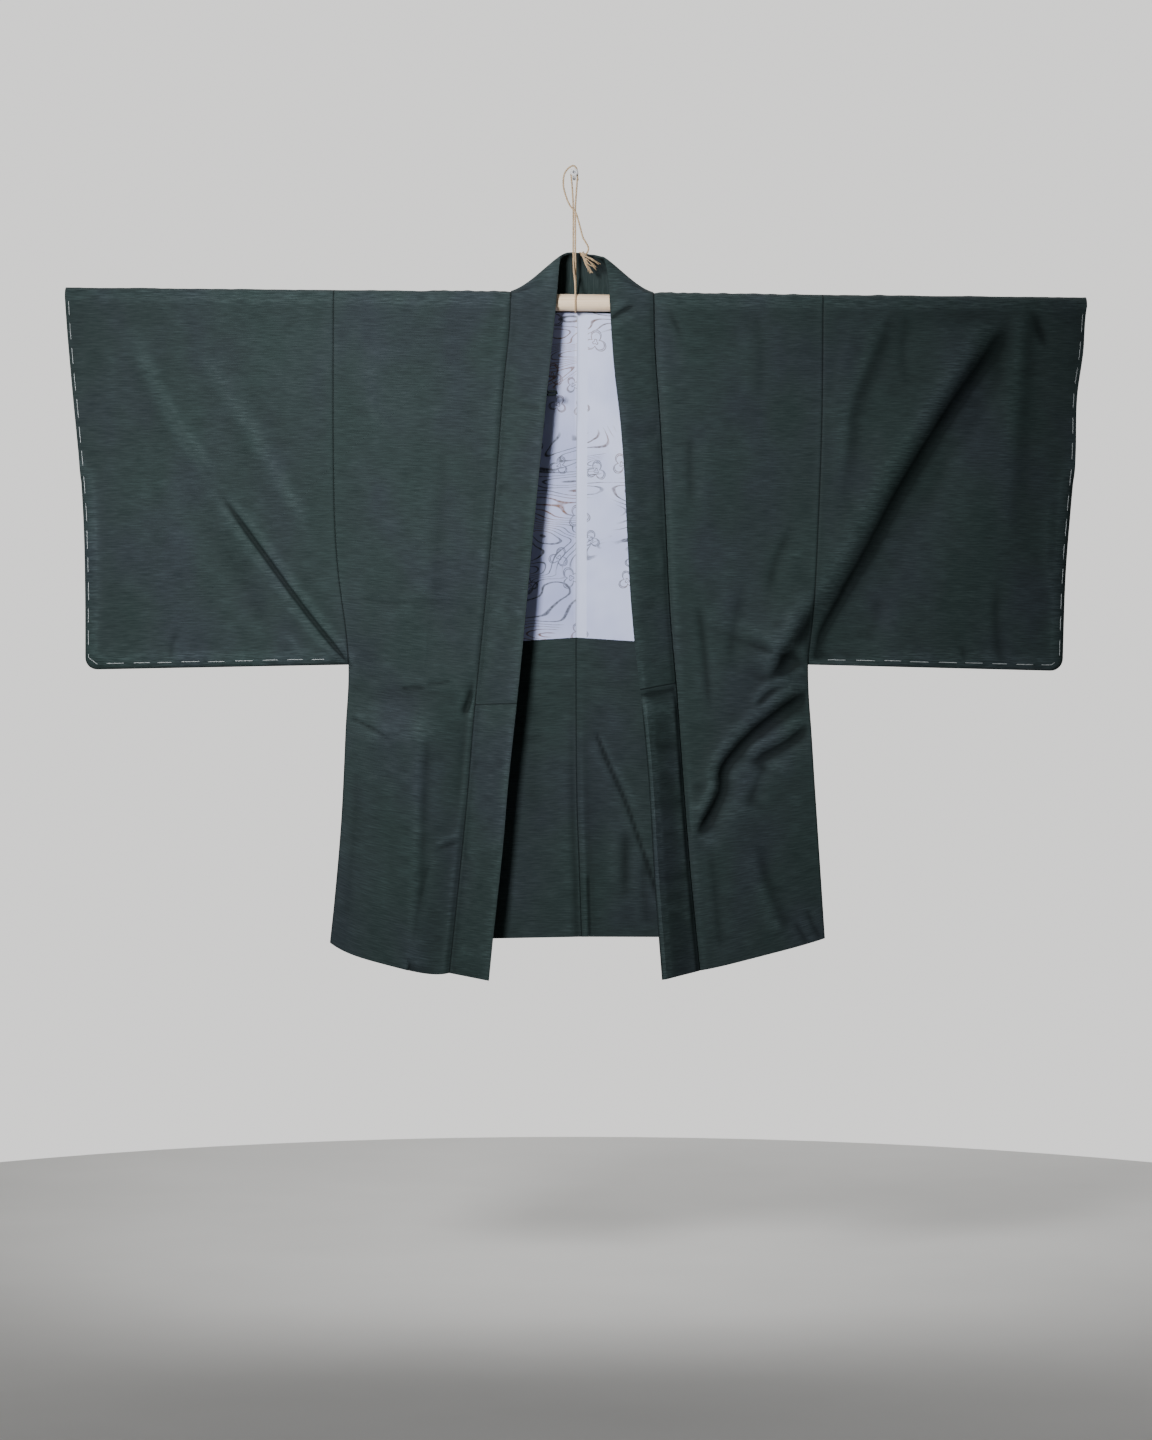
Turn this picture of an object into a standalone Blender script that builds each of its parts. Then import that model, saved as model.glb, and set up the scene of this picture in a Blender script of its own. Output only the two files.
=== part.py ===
"""A man's lined haori jacket, hung flat on a wooden rod that twine holds from a screw in a wall.

Frame: metres, +Z up, +Y into the wall, +X to the viewer's right. The origin is where the screw's axis
meets the plane of the wall, so everything but the screw's buried end lies at negative Y.

Sizes and tables are in millimetres, and a mesh takes them through MM. Every cloth wall is a grid of
points on its middle surface. Each point also has a direction, and the wall's two faces lie half its
thickness to either side along it. Beside a seam that direction has no part across the seam, so two
neighbouring walls keep their gap whatever slope the cloth has there.
"""

import bisect
import math
from collections import namedtuple

import bmesh
import bpy
from mathutils import Vector

MM = 0.001

# Driving dimensions
GAP = 0.3                       # between two pieces that are sewn together or touch
CLOTH = 2.0                     # silk with its lining
COLLAR_CLOTH = 3.0              # collar, folded double
GUSSET_CLOTH = 1.5
LINING_CLOTH = 1.0

ROD_DIAMETER = 22.0
ROD_Y = -26.0
ROD_Z = -168.0                  # rod's axis straight below the screw
ROD_SLOPE = -0.0098             # rise for each millimetre to the right
ROD_LEFT = -650.0
ROD_RIGHT = 655.0
ROD_SIDES = 32

TWINE_DIAMETER = 2.0
TWINE_TURN = ROD_DIAMETER / 2 + 2 * GAP + TWINE_DIAMETER / 2     # twice the gap, as its points are joined straight

SCREW_HEAD_DIAMETER = 10.4
SCREW_SHANK_DIAMETER = 4.4
SCREW_HEAD_OUT = 33.5           # from the wall to the top of the head
SCREW_HEAD_DEPTH = 4.0
SCREW_BURIED = 25.0

WRAP = ROD_DIAMETER / 2 + GAP + CLOTH / 2       # middle of the cloth where it lies on the rod
WRIST_END = -400.0              # lower end of the wrist opening
WRIST_BLEND = 35.0              # height over which the opening's two edges come together
SLEEVE_CORNER = 15.0            # radius of the sleeve's rounded lower corner, and of its edges' roundness
LEFT_SLEEVE_HEM = (-635.7, -642.2)              # height at the seam and at the wrist
RIGHT_SLEEVE_HEM = (-635.7, -644.0)
LEFT_FRONT_BOW = 9.5            # sag of the front hem below a straight line
RIGHT_FRONT_BOW = 2.0
BACK_HEM = -990.0
NECKLINE = -177.0               # top of the back panels at the centre seam
LINING_TOP = -179.0
LINING_HEM = -601.0             # below it the inside is the silk, turned up
LEFT_COLLAR_JOIN = -687.5       # seam across the left lapel
RIGHT_COLLAR_JOIN = -665.0
GUSSET_TOP = -645.0
GUSSET_FOLD = (5.0, 34.0)       # how far it is folded in, at its top and at the hem

# Grid counts
SLEEVE_COLUMNS = 10
SLEEVE_ROWS = 14
FRONT_COLUMNS = 8
FRONT_ROWS_BELOW = 11
BACK_COLUMNS = 8
BACK_LEAD = (5.0, 8.5, 12.0, 17.0)              # rows close below the rod, for the neckline
BACK_ROWS = 9
BACK_ROWS_BELOW = 8
LAPEL_COLUMNS = 4
TURN_ROWS = 4                   # from the top of the rod to its front or back
ROUND_STEPS = (1.0, 0.5, 0.13)  # where the rounded edge's rows lie, in parts of SLEEVE_CORNER

# Upright edges, as seen from the front: height and place from side to side
Place = namedtuple("Place", "z x")

LEFT_CUFF = [Place(*row) for row in (
    (-150, -656.5), (-209, -651.2), (-281, -644.1), (-389, -635.1),
    (-462, -631.2), (-534, -629.5), (-642, -630.3))]
LEFT_SIDE = [Place(*row) for row in (
    (-152, -311.0), (-389, -311.0), (-462, -309.2), (-513, -305.5), (-632, -292.0),
    (-723, -295.4), (-842, -301.3), (-945, -310.2), (-996, -315.7))]
LEFT_LAPEL_OUTER = [Place(*row) for row in (
    (-156, -82.0), (-197, -83.4), (-285, -92.0), (-425, -102.8), (-569, -116.1),
    (-682, -127.5), (-812, -138.4), (-931, -150.3), (-1035, -161.3))]
LEFT_LAPEL_INNER = [Place(*row) for row in (
    (-152, -21.6), (-178, -24.0), (-321, -38.4), (-502, -56.0), (-599, -65.0), (-690, -74.2),
    (-791, -85.0), (-865, -91.1), (-975, -102.9), (-1044, -109.8))]
RIGHT_LAPEL_INNER = [Place(*row) for row in (
    (-157, 45.3), (-197, 47.1), (-254, 51.2), (-325, 59.2), (-398, 64.6), (-462, 67.6), (-544, 71.9),
    (-598, 76.4), (-670, 84.4), (-782, 95.1), (-917, 103.1), (-1042, 112.5))]
RIGHT_LAPEL_OUTER = [Place(*row) for row in (
    (-161, 102.4), (-223, 103.7), (-321, 110.3), (-424, 116.2), (-572, 123.5), (-683, 132.9),
    (-767, 138.9), (-892, 148.5), (-1032, 161.9))]
RIGHT_SIDE = [Place(*row) for row in (
    (-161, 321.2), (-326, 319.5), (-467, 314.1), (-587, 307.0), (-633, 302.5),
    (-736, 307.5), (-864, 315.7), (-990.5, 324.0))]
RIGHT_CUFF = [Place(*row) for row in (
    (-162, 662.7), (-177, 657.3), (-290, 646.7), (-375, 642.4), (-428, 636.1),
    (-517, 630.8), (-644, 627.0))]
CENTRE_SEAM = [Place(*row) for row in (
    (-177, 4.0), (-600, 2.2), (-823, 3.7), (-892, 6.3), (-990, 9.4))]

# How deep each edge hangs, by height
Depth = namedtuple(
    "Depth", "z cuff_front cuff_back side_front side_back lapel_outer left_inner right_inner centre")
DEPTHS = [Depth(*row) for row in (
    (-168, -38.3, -13.7, -38.3, -13.7, -39.2, -43.0, -43.0, -11.0),
    (-300, -37.4, -14.6, -37.4, -14.6, -40.0, -48.5, -50.0, -10.0),
    (-640, -33.0, -19.0, -33.0, -19.0, -39.0, -52.0, -56.0, -10.5),
    (-1000, -33.0, -19.0, -31.0, -17.0, -37.0, -51.0, -56.0, -12.0))]

# The largest folds, each along a bow through three places. A height above zero stands out to the front.
Fold = namedtuple("Fold", "x0 z0 x1 z1 x2 z2 width height")
LEFT_SLEEVE_FOLDS = [Fold(*row) for row in (
    (-300, -625, -390, -500, -455, -405, 16, -3.0),
    (-470, -395, -520, -310, -575, -200, 30, 3.5),
    (-480, -200, -400, -370, -330, -540, 28, 3.0),
    (-520, -380, -465, -475, -375, -600, 24, -2.2))]
LEFT_SLEEVE_BACK_FOLDS = [Fold(*row) for row in (
    (-310, -610, -400, -480, -560, -300, 26, -2.5),
    (-360, -220, -400, -350, -420, -500, 30, 2.5))]
RIGHT_SLEEVE_FOLDS = [Fold(*row) for row in (
    (312, -618, 400, -475, 540, -190, 26, -3.4),
    (350, -610, 440, -470, 590, -230, 30, 4.0),
    (400, -185, 360, -290, 338, -400, 24, -2.2),
    (585, -190, 575, -300, 572, -480, 22, -2.0))]
RIGHT_SLEEVE_BACK_FOLDS = [Fold(*row) for row in (
    (318, -600, 420, -430, 560, -250, 28, -2.5),
    (470, -230, 440, -380, 430, -560, 30, 2.5))]
LEFT_FRONT_FOLDS = [Fold(*row) for row in (
    (-184, -708, -195, -850, -202, -1010, 16, -3.0),
    (-225, -740, -232, -860, -240, -1000, 26, 3.0),
    (-140, -400, -190, -520, -270, -610, 26, 2.5))]
RIGHT_FRONT_FOLDS = [Fold(*row) for row in (
    (298, -668, 205, -735, 165, -850, 17, -4.0),
    (290, -600, 262, -655, 222, -705, 16, -3.5),
    (298, -715, 215, -790, 190, -940, 24, 4.0),
    (149, -320, 150, -430, 172, -600, 18, -2.5))]
LEFT_BACK_FOLDS = [Fold(*row) for row in (
    (-270, -620, -200, -760, -170, -960, 30, -2.5),
    (-90, -640, -95, -800, -70, -970, 28, 2.5))]
RIGHT_BACK_FOLDS = [Fold(*row) for row in (
    (30, -725, 75, -800, 95, -940, 22, -3.0),
    (270, -620, 220, -760, 190, -960, 30, -2.5))]

# The collar's turn round the neck. Its sewn edge goes over the rod, by an angle from the rod's front and
# a distance from the rod's axis, then drops behind it. Its free edge is given by its place.
Turn = namedtuple("Turn", "outer_x angle radius drop inner_x inner_y inner_z")
NECK = [Turn(*row) for row in (
    (-81.9, 22, 13.2, 0, -21.6, -41.5, -150),
    (-81.9, 56, 13.2, 0, -19.5, -37, -125),
    (-81.8, 90, 13.4, 0, -16.8, -30, -108.5),
    (-80.0, 125, 14.2, 0, -10, -19, -105.8),
    (-75.0, 165, 16.2, 0, -3, -12, -105),
    (-52.0, 180, 17.8, 9, 3, -8.0, -105),
    (-20.0, 180, 18.5, 12, 7, -7.2, -105),
    (8.0, 180, 18.7, 13, 10, -7.0, -105.4),
    (38.0, 180, 18.5, 12, 15, -7.2, -106),
    (70.0, 180, 17.8, 9, 20, -8.0, -106.6),
    (95.5, 165, 16.2, 0, 27, -12, -107.5),
    (100.4, 125, 14.2, 0, 33.5, -19, -108.5),
    (102.2, 90, 13.4, 0, 38.6, -30, -110.5),
    (102.3, 56, 13.2, 0, 42, -37, -127),
    (102.3, 22, 13.2, 0, 44.6, -41.5, -152))]

# Routes of the twine, each by hand through the places it touches
LOOP_ROUTE = (
    (-1.35, -26, -46), (-2.3, -26.5, -24), (-3.8, -27, -7), (-4.1, -27, 0), (-2.9, -27, 3.1), (0, -27, 4.3),
    (2.9, -27, 3.1), (4.1, -27, 0), (3.9, -27, -7), (2.7, -26.5, -24), (1.35, -26, -46), (1.35, -26, -75),
    (1.35, -26, -105), (1.6, -23.5, -126), (1.7, -17.5, -148))
LOOP_RETURN = (
    (1.2, -34.5, -148), (-0.6, -28.5, -126), (-1.35, -26, -105), (-1.35, -26, -75))
TAIL_ROUTE = (
    (4.6, -22, -9), (3.55, -22, 0), (2.9, -22, 6.5), (-1.5, -22, 10.2), (-8.5, -22, 6.0), (-13.3, -22.5, -2.5),
    (-14.0, -24, -17), (-9.5, -27, -34), (-4.0, -30, -45), (1.5, -31, -51), (6.0, -31, -65), (10.8, -30.5, -83),
    (14.0, -30, -89), (18.3, -29, -97.5), (15.5, -28.5, -105), (10.2, -31, -106), (12.5, -34, -112),
    (21.4, -34, -130))
LOOP_POINTS = 76
TAIL_POINTS = 40

CHI_Z = -287.0                  # height of the small loops that take the jacket's cords
CHI_LENGTH = 21.0
CHI_REACH = {"left": 12.0, "right": -4.0}       # how far each loop's end lies past the lapel's free edge
CHI_WIDTH = 4.2
CHI_DIAMETER = 2.4

Colour = namedtuple("Colour", "red green blue roughness metallic")
SILK = Colour(0.026, 0.040, 0.042, 0.75, 0.0)
LINING = Colour(0.60, 0.63, 0.74, 0.50, 0.0)
ROD_WOOD = Colour(0.75, 0.66, 0.54, 0.55, 0.0)
TWINE = Colour(0.62, 0.49, 0.34, 0.90, 0.0)
SCREW_PAINT = Colour(0.80, 0.80, 0.82, 0.40, 0.0)


# Curves and lines

def smooth(t):
    """An even step from 0 to 1 with level ends."""
    t = min(max(t, 0.0), 1.0)
    return t * t * (3 - 2 * t)


def mix(a, b, t):
    """The value a part t of the way from a to b."""
    return a + (b - a) * t


def read(table, column, z):
    """A table's column at height z, on a smooth line through its rows, whose heights fall."""
    heights = [-row.z for row in table]
    values = [getattr(row, column) for row in table]
    at = min(max(-z, heights[0]), heights[-1])
    i = min(max(bisect.bisect_right(heights, at) - 1, 0), len(table) - 2)
    slopes = [(values[k + 1] - values[k]) / (heights[k + 1] - heights[k]) for k in range(len(table) - 1)]
    lead = slopes[i] if i == 0 else (slopes[i - 1] + slopes[i]) / 2
    trail = slopes[i] if i == len(slopes) - 1 else (slopes[i] + slopes[i + 1]) / 2
    span = heights[i + 1] - heights[i]
    t = (at - heights[i]) / span
    return (values[i] * (2 * t**3 - 3 * t**2 + 1) + span * lead * (t**3 - 2 * t**2 + t)
            + values[i + 1] * (3 * t**2 - 2 * t**3) + span * trail * (t**3 - t**2))


def depth(column, z):
    """How deep an edge hangs at height z."""
    return read(DEPTHS, column, z)


def rod_z(x):
    """Height of the rod's axis."""
    return ROD_Z + ROD_SLOPE * x


def fold_height(folds, x, z):
    """How far the folds bring the cloth to the front at one place."""
    total = 0.0
    steps = 12
    for fold in folds:
        nearest, along = None, 0.0
        for k in range(steps + 1):
            t = k / steps
            a, b, c = (1 - t) ** 2, 2 * t * (1 - t), t * t
            px = a * fold.x0 + b * fold.x1 + c * fold.x2
            pz = a * fold.z0 + b * fold.z1 + c * fold.z2
            far = math.hypot(x - px, z - pz)
            if nearest is None or far < nearest:
                nearest, along = far, t
        ends = smooth(along / 0.2) * smooth((1 - along) / 0.2)
        total += fold.height * ends * math.exp(-(nearest / fold.width) ** 2)
    return total


def even_curve(places, count, closed=False):
    """Points at even steps along a smooth curve through the places."""
    n = len(places)
    places = [Vector(p) for p in places]
    fine = []
    for i in range(n if closed else n - 1):
        if closed:
            a, b, c, d = (places[(i + k) % n] for k in (-1, 0, 1, 2))
        else:
            a, b, c, d = (places[min(max(i + k, 0), n - 1)] for k in (-1, 0, 1, 2))
        for k in range(12):
            t = k / 12
            fine.append(0.5 * (2 * b + (c - a) * t + (2 * a - 5 * b + 4 * c - d) * t * t
                               + (3 * b - a - 3 * c + d) * t**3))
    fine.append(places[0].copy() if closed else places[-1].copy())
    lengths = [0.0]
    for p, q in zip(fine, fine[1:]):
        lengths.append(lengths[-1] + (q - p).length)
    points = []
    for k in range(count):
        at = lengths[-1] * k / (count if closed else count - 1)
        i = min(max(bisect.bisect_right(lengths, at) - 1, 0), len(fine) - 2)
        points.append(fine[i].lerp(fine[i + 1], (at - lengths[i]) / (lengths[i + 1] - lengths[i])))
    return points


# Scene and solids

def clear_scene():
    """Remove what the scene holds."""
    for old in list(bpy.data.objects):
        bpy.data.objects.remove(old, do_unlink=True)


def material(name, colour):
    """A Principled material of one colour."""
    made = bpy.data.materials.new(name)
    made.use_nodes = True
    made.diffuse_color = (colour.red, colour.green, colour.blue, 1.0)
    shader = made.node_tree.nodes["Principled BSDF"]
    shader.inputs["Base Color"].default_value = (colour.red, colour.green, colour.blue, 1.0)
    shader.inputs["Roughness"].default_value = colour.roughness
    shader.inputs["Metallic"].default_value = colour.metallic
    return made


def place(obj, collection, surface):
    """Put an object in the haori's collection with its material."""
    collection.objects.link(obj)
    obj.data.materials.append(surface)
    return obj


def wall(name, grid, thickness, collection, surface):
    """A closed cloth wall from a grid of (point, direction), with its two faces and its rim."""
    rows, columns = len(grid), len(grid[0])
    mesh = bmesh.new()
    faces = []
    for side in (0.5, -0.5):
        faces.append([[mesh.verts.new((Vector(p) + Vector(d) * side * thickness) * MM) for p, d in row]
                      for row in grid])
    outer, inner = faces
    for i in range(rows - 1):
        for j in range(columns - 1):
            mesh.faces.new((outer[i][j], outer[i + 1][j], outer[i + 1][j + 1], outer[i][j + 1]))
            mesh.faces.new((inner[i][j], inner[i][j + 1], inner[i + 1][j + 1], inner[i + 1][j]))
    rim = [(0, j) for j in range(columns)] + [(i, columns - 1) for i in range(1, rows)]
    rim += [(rows - 1, j) for j in range(columns - 2, -1, -1)] + [(i, 0) for i in range(rows - 2, 0, -1)]
    for (a, b), (c, d) in zip(rim, rim[1:] + rim[:1]):
        mesh.faces.new((outer[a][b], outer[c][d], inner[c][d], inner[a][b]))
    bmesh.ops.recalc_face_normals(mesh, faces=mesh.faces)
    if mesh.calc_volume(signed=True) < 0:
        bmesh.ops.reverse_faces(mesh, faces=mesh.faces)
    data = bpy.data.meshes.new(name)
    mesh.to_mesh(data)
    mesh.free()
    return place(bpy.data.objects.new(name, data), collection, surface)


def tube(name, points, diameter, collection, surface, closed=False):
    """A cord as a curve with a bevel depth, capped where it is open."""
    data = bpy.data.curves.new(name, "CURVE")
    data.dimensions = "3D"
    data.bevel_depth = diameter / 2 * MM
    data.bevel_resolution = 2
    data.use_fill_caps = not closed
    spline = data.splines.new("POLY")
    spline.points.add(len(points) - 1)
    for target, point in zip(spline.points, points):
        target.co = (*(Vector(point) * MM), 1.0)
    spline.use_cyclic_u = closed
    return place(bpy.data.objects.new(name, data), collection, surface)


# Rows and columns shared by neighbouring walls

def even(start, end, count):
    """count + 1 even values from start to end."""
    return [mix(start, end, k / count) for k in range(count + 1)]


def round_end(end):
    """The heights where a rounded lower edge that ends at one height has its rows."""
    return [end + SLEEVE_CORNER * step for step in ROUND_STEPS] + [end]


def arm_heights(top, end, count, lead=()):
    """Heights of a sleeve's rows, from the rod's axis to the lower edge, with any close rows first."""
    rounded = round_end(end)
    close = [top] + [top - below for below in lead]
    return close[:-1] + even(close[-1], rounded[0], count) + rounded[1:]


def side_heights(edge, sleeve_end, hem, count, below, lead=()):
    """Heights on a body's side edge: the sleeve's rows, then the rows below the armpit."""
    arm = arm_heights(rod_z(edge[0].x), sleeve_end, count, lead)
    return arm + even(sleeve_end, hem, below)[1:]


def matched_heights(pattern, join_row, top, join, hem):
    """Heights on another edge, spaced like the pattern, with one row at a stated height."""
    upper = [(z - pattern[0]) / (pattern[join_row] - pattern[0]) for z in pattern[:join_row + 1]]
    lower = [(z - pattern[join_row]) / (pattern[-1] - pattern[join_row]) for z in pattern[join_row + 1:]]
    return [mix(top, join, t) for t in upper] + [mix(join, hem, t) for t in lower]


def turn_rows(across, sign):
    """Rows of (point, direction) over the rod, from its top to where the cloth leaves it.

    across gives each column's place from side to side. sign is -1 in front of the rod and 1 behind it.
    """
    rows = []
    for k in range(TURN_ROWS):
        angle = math.radians(90 * (1 - k / TURN_ROWS))
        row = []
        for x in across:
            y = ROD_Y + sign * max(WRAP * math.cos(angle), GAP / 2)
            point = (x, y, rod_z(x) + WRAP * math.sin(angle))
            row.append((point, (0, sign * math.cos(angle), math.sin(angle))))
        rows.append(row)
    return rows


# Sleeves

Sleeve = namedtuple("Sleeve", "cuff side hem out front_folds back_folds")
LEFT_SLEEVE = Sleeve(LEFT_CUFF, LEFT_SIDE, LEFT_SLEEVE_HEM, -1, LEFT_SLEEVE_FOLDS, LEFT_SLEEVE_BACK_FOLDS)
RIGHT_SLEEVE = Sleeve(
    RIGHT_CUFF, RIGHT_SIDE, RIGHT_SLEEVE_HEM, 1, RIGHT_SLEEVE_FOLDS, RIGHT_SLEEVE_BACK_FOLDS)


def sleeve_columns():
    """Each column's part of the sleeve's width, and its distance from the cuff edge where that is rounded."""
    plain = [(k / SLEEVE_COLUMNS, None) for k in range(SLEEVE_COLUMNS)]
    return plain + [(None, SLEEVE_CORNER * step) for step in ROUND_STEPS] + [(None, 0.0)]


def sleeve_half(sleeve, sign, count, lead=()):
    """One face of a sleeve, as a grid from the top of the rod to the lower edge.

    The face and its other half meet on a middle plane at the lower edge and below the wrist opening.
    """
    front = sign < 0
    folds = sleeve.front_folds if front else sleeve.back_folds
    seam_rows = arm_heights(rod_z(sleeve.side[0].x), sleeve.hem[0], count, lead)
    cuff_rows = arm_heights(rod_z(sleeve.cuff[0].x), sleeve.hem[1], count, lead)
    grid = []
    for i, (seam_z, cuff_z) in enumerate(zip(seam_rows, cuff_rows)):
        seam_x = read(sleeve.side, "x", seam_z) + sleeve.out * GAP / 2
        cuff_x = read(sleeve.cuff, "x", cuff_z)
        below = sleeve.hem[0] + SLEEVE_CORNER - seam_z
        low = min(max(below / SLEEVE_CORNER, 0.0), 1.0) if i >= len(lead) + count else 0.0
        closed = smooth((WRIST_END + WRIST_BLEND - cuff_z) / WRIST_BLEND)
        row = []
        for part, inset in sleeve_columns():
            x = mix(seam_x, cuff_x, part) if inset is None else cuff_x - sleeve.out * inset
            u = abs(x - seam_x) / abs(cuff_x - seam_x)
            z = mix(seam_z, cuff_z, u)
            near = 0.0 if inset is None else 1 - inset / SLEEVE_CORNER
            edge = math.hypot(low, near)
            if low > 0 and near > 0:
                reach = max(low, near)
                x += sleeve.out * SLEEVE_CORNER * (reach * near / edge - near)
                z -= SLEEVE_CORNER * (reach * low / edge - low)
            row.append(sleeve_point(x, z, u, low, near * closed, sleeve, front, folds))
        grid.append(row)
    across = [p[0][0] for p in grid[0]]
    return turn_rows(across, sign) + grid


def sleeve_point(x, z, u, low, near, sleeve, front, folds):
    """A point of a sleeve's face and its direction.

    low and near say how far it is into the rounded lower edge and outer edge, each from 0 to 1.
    """
    name = "front" if front else "back"
    sign = -1 if front else 1
    middle = ROD_Y
    deep = mix(depth("side_" + name, z), depth("cuff_" + name, z), u)
    half = abs(deep - middle)
    turn = max(low, near)
    rise = math.sqrt(max(1 - turn * turn, 0.0))
    fade = smooth(u * 12) * rise
    y = middle + sign * (GAP / 2 + (half - GAP / 2) * rise) - fold_height(folds, x, z) * fade
    spread = math.hypot(low, near) or 1.0
    direction = Vector((sleeve.out * turn * near / spread / SLEEVE_CORNER, sign * rise / half,
                        -turn * low / spread / SLEEVE_CORNER)).normalized()
    return (x, y, z), tuple(direction)


# Body panels

Body = namedtuple("Body", "side lapel sleeve_hem hem lapel_hem join bow out front_folds back_folds")
LEFT_BODY = Body(LEFT_SIDE, LEFT_LAPEL_OUTER, LEFT_SLEEVE_HEM[0], -996.0, -1035.0, LEFT_COLLAR_JOIN,
                 LEFT_FRONT_BOW, -1, LEFT_FRONT_FOLDS, LEFT_BACK_FOLDS)
RIGHT_BODY = Body(RIGHT_SIDE, RIGHT_LAPEL_OUTER, RIGHT_SLEEVE_HEM[0], -990.5, -1032.0, RIGHT_COLLAR_JOIN,
                  RIGHT_FRONT_BOW, 1, RIGHT_FRONT_FOLDS, RIGHT_BACK_FOLDS)
JOIN_ROW = SLEEVE_ROWS + len(ROUND_STEPS) + 1   # the first row below the armpit
LINING_END = len(BACK_LEAD) + BACK_ROWS         # the back's row at the lining's lower edge


def front_side_heights(body):
    """Heights of a front panel's rows on its side edge."""
    return side_heights(body.side, body.sleeve_hem, body.hem, SLEEVE_ROWS, FRONT_ROWS_BELOW)


def lapel_heights(body, top, hem):
    """Heights of the same rows on one of the lapel's edges."""
    return matched_heights(front_side_heights(body), JOIN_ROW, top, body.join, hem)


def front_panel(body):
    """A front panel, from the top of the rod to the hem."""
    sides = front_side_heights(body)
    lapels = lapel_heights(body, rod_z(body.lapel[0].x), body.lapel_hem)
    grid = []
    for side_z, lapel_z in zip(sides, lapels):
        side_x = read(body.side, "x", side_z) - body.out * GAP / 2
        lapel_x = read(body.lapel, "x", lapel_z) + body.out * GAP / 2
        down = (sides[0] - side_z) / (sides[0] - sides[-1])
        row = []
        for k in range(FRONT_COLUMNS + 1):
            u = k / FRONT_COLUMNS
            x = mix(side_x, lapel_x, u)
            z = mix(side_z, lapel_z, u) - body.bow * down**3 * (1 - (2 * u - 1) ** 4)
            y = mix(depth("side_front", side_z), depth("lapel_outer", lapel_z), smooth(u))
            y -= fold_height(body.front_folds, x, z) * smooth(u * 6) * smooth((1 - u) * 6)
            row.append(((x, y, z), (0, -1, 0)))
        grid.append(row)
    across = [p[0][0] for p in grid[0]]
    return turn_rows(across, -1) + grid


Cut = namedtuple("Cut", "z part")
NECKLINE_CUT = [Cut(*row) for row in (          # the back's inner edge, and its way to the centre seam
    (ROD_Z, 0.0), (-172.5, 0.22), (-175.5, 0.58), (NECKLINE, 1.0))]


def back_inner_edge(body, sides):
    """Height and place of each row of a back panel on its inner edge: the neckline, then the seam."""
    neck_x = body.lapel[0].x + body.out * GAP / 2
    edge = []
    for cut in NECKLINE_CUT:
        seam_x = read(CENTRE_SEAM, "x", cut.z) + body.out * GAP / 2
        edge.append((cut.z, mix(neck_x, seam_x, cut.part)))
    top, hem = sides[len(NECKLINE_CUT)], sides[LINING_END]
    for z in sides[len(NECKLINE_CUT):LINING_END + 1]:
        edge.append((mix(LINING_TOP, LINING_HEM, (z - top) / (hem - top)), None))
    for z in sides[LINING_END + 1:]:
        edge.append((mix(LINING_HEM, BACK_HEM, (z - hem) / (sides[-1] - hem)), None))
    return [(z, read(CENTRE_SEAM, "x", z) + body.out * GAP / 2 if x is None else x) for z, x in edge]


def back_panel(body):
    """A back panel, from the top of the rod to the hem, with the neckline cut out of its inner edge."""
    sides = side_heights(body.side, body.sleeve_hem, body.hem, BACK_ROWS, BACK_ROWS_BELOW, BACK_LEAD)
    grid = []
    for side_z, (inner_z, inner_x) in zip(sides, back_inner_edge(body, sides)):
        side_x = read(body.side, "x", side_z) - body.out * GAP / 2
        row = []
        for k in range(BACK_COLUMNS + 1):
            u = k / BACK_COLUMNS
            x = mix(side_x, inner_x, u)
            z = mix(side_z, inner_z, u)
            centre = smooth(u) * abs(inner_x - side_x) / abs(read(CENTRE_SEAM, "x", inner_z) - side_x)
            y = mix(depth("side_back", side_z), depth("centre", inner_z), centre)
            y -= fold_height(body.back_folds, x, z) * smooth(u * 6) * smooth((1 - u) * 6)
            row.append(((x, y, z), (0, 1, 0)))
        grid.append(row)
    across = [p[0][0] for p in grid[0]]
    return turn_rows(across, 1) + grid


def lining_half(panel):
    """The lining on the inside of a back panel, made from the panel's own points, moved to the front."""
    first = TURN_ROWS + len(NECKLINE_CUT)
    last = TURN_ROWS + LINING_END
    lift = CLOTH / 2 + GAP + LINING_CLOTH / 2
    return [[((x, y - lift, z), (0, -1, 0)) for (x, y, z), _ in row[BACK_COLUMNS // 2:]]
            for row in panel[first:last + 1]]


def row_depth(row, x):
    """The depth of a panel's row at a place from side to side, straight between its points."""
    for (p, _), (q, _) in zip(row, row[1:]):
        if min(p[0], q[0]) <= x <= max(p[0], q[0]):
            return mix(p[1], q[1], (x - p[0]) / (q[0] - p[0]))
    return row[0][0][1]


def gusset(body, front, back):
    """The narrow piece between a front and a back panel, sewn to both side edges and folded inwards."""
    heights = even(GUSSET_TOP, body.hem + 2.0, 9)
    lift = CLOTH / 2 + GAP + GUSSET_CLOTH / 2
    inwards = -body.out
    grid = []
    for z in heights:
        down = (GUSSET_TOP - z) / (GUSSET_TOP - heights[-1])
        fold = mix(GUSSET_FOLD[0], GUSSET_FOLD[1], down)
        x = read(body.side, "x", z) + inwards * 1.0
        leaf = x + inwards * fold / 2
        front_y = [panel_depth(front, at, z) + lift for at in (x, leaf)]
        back_y = [panel_depth(back, at, z) - lift for at in (x, leaf)]
        middle = (front_y[1] + back_y[1]) / 2
        grid.append([
            ((x, front_y[0], z), (0, 1, 0)),
            ((leaf, front_y[1], z), (0, 1, 0)),
            ((x + inwards * fold, middle, z), (-inwards, 0, 0)),
            ((leaf, back_y[1], z), (0, -1, 0)),
            ((x, back_y[0], z), (0, -1, 0))])
    return grid


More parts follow.
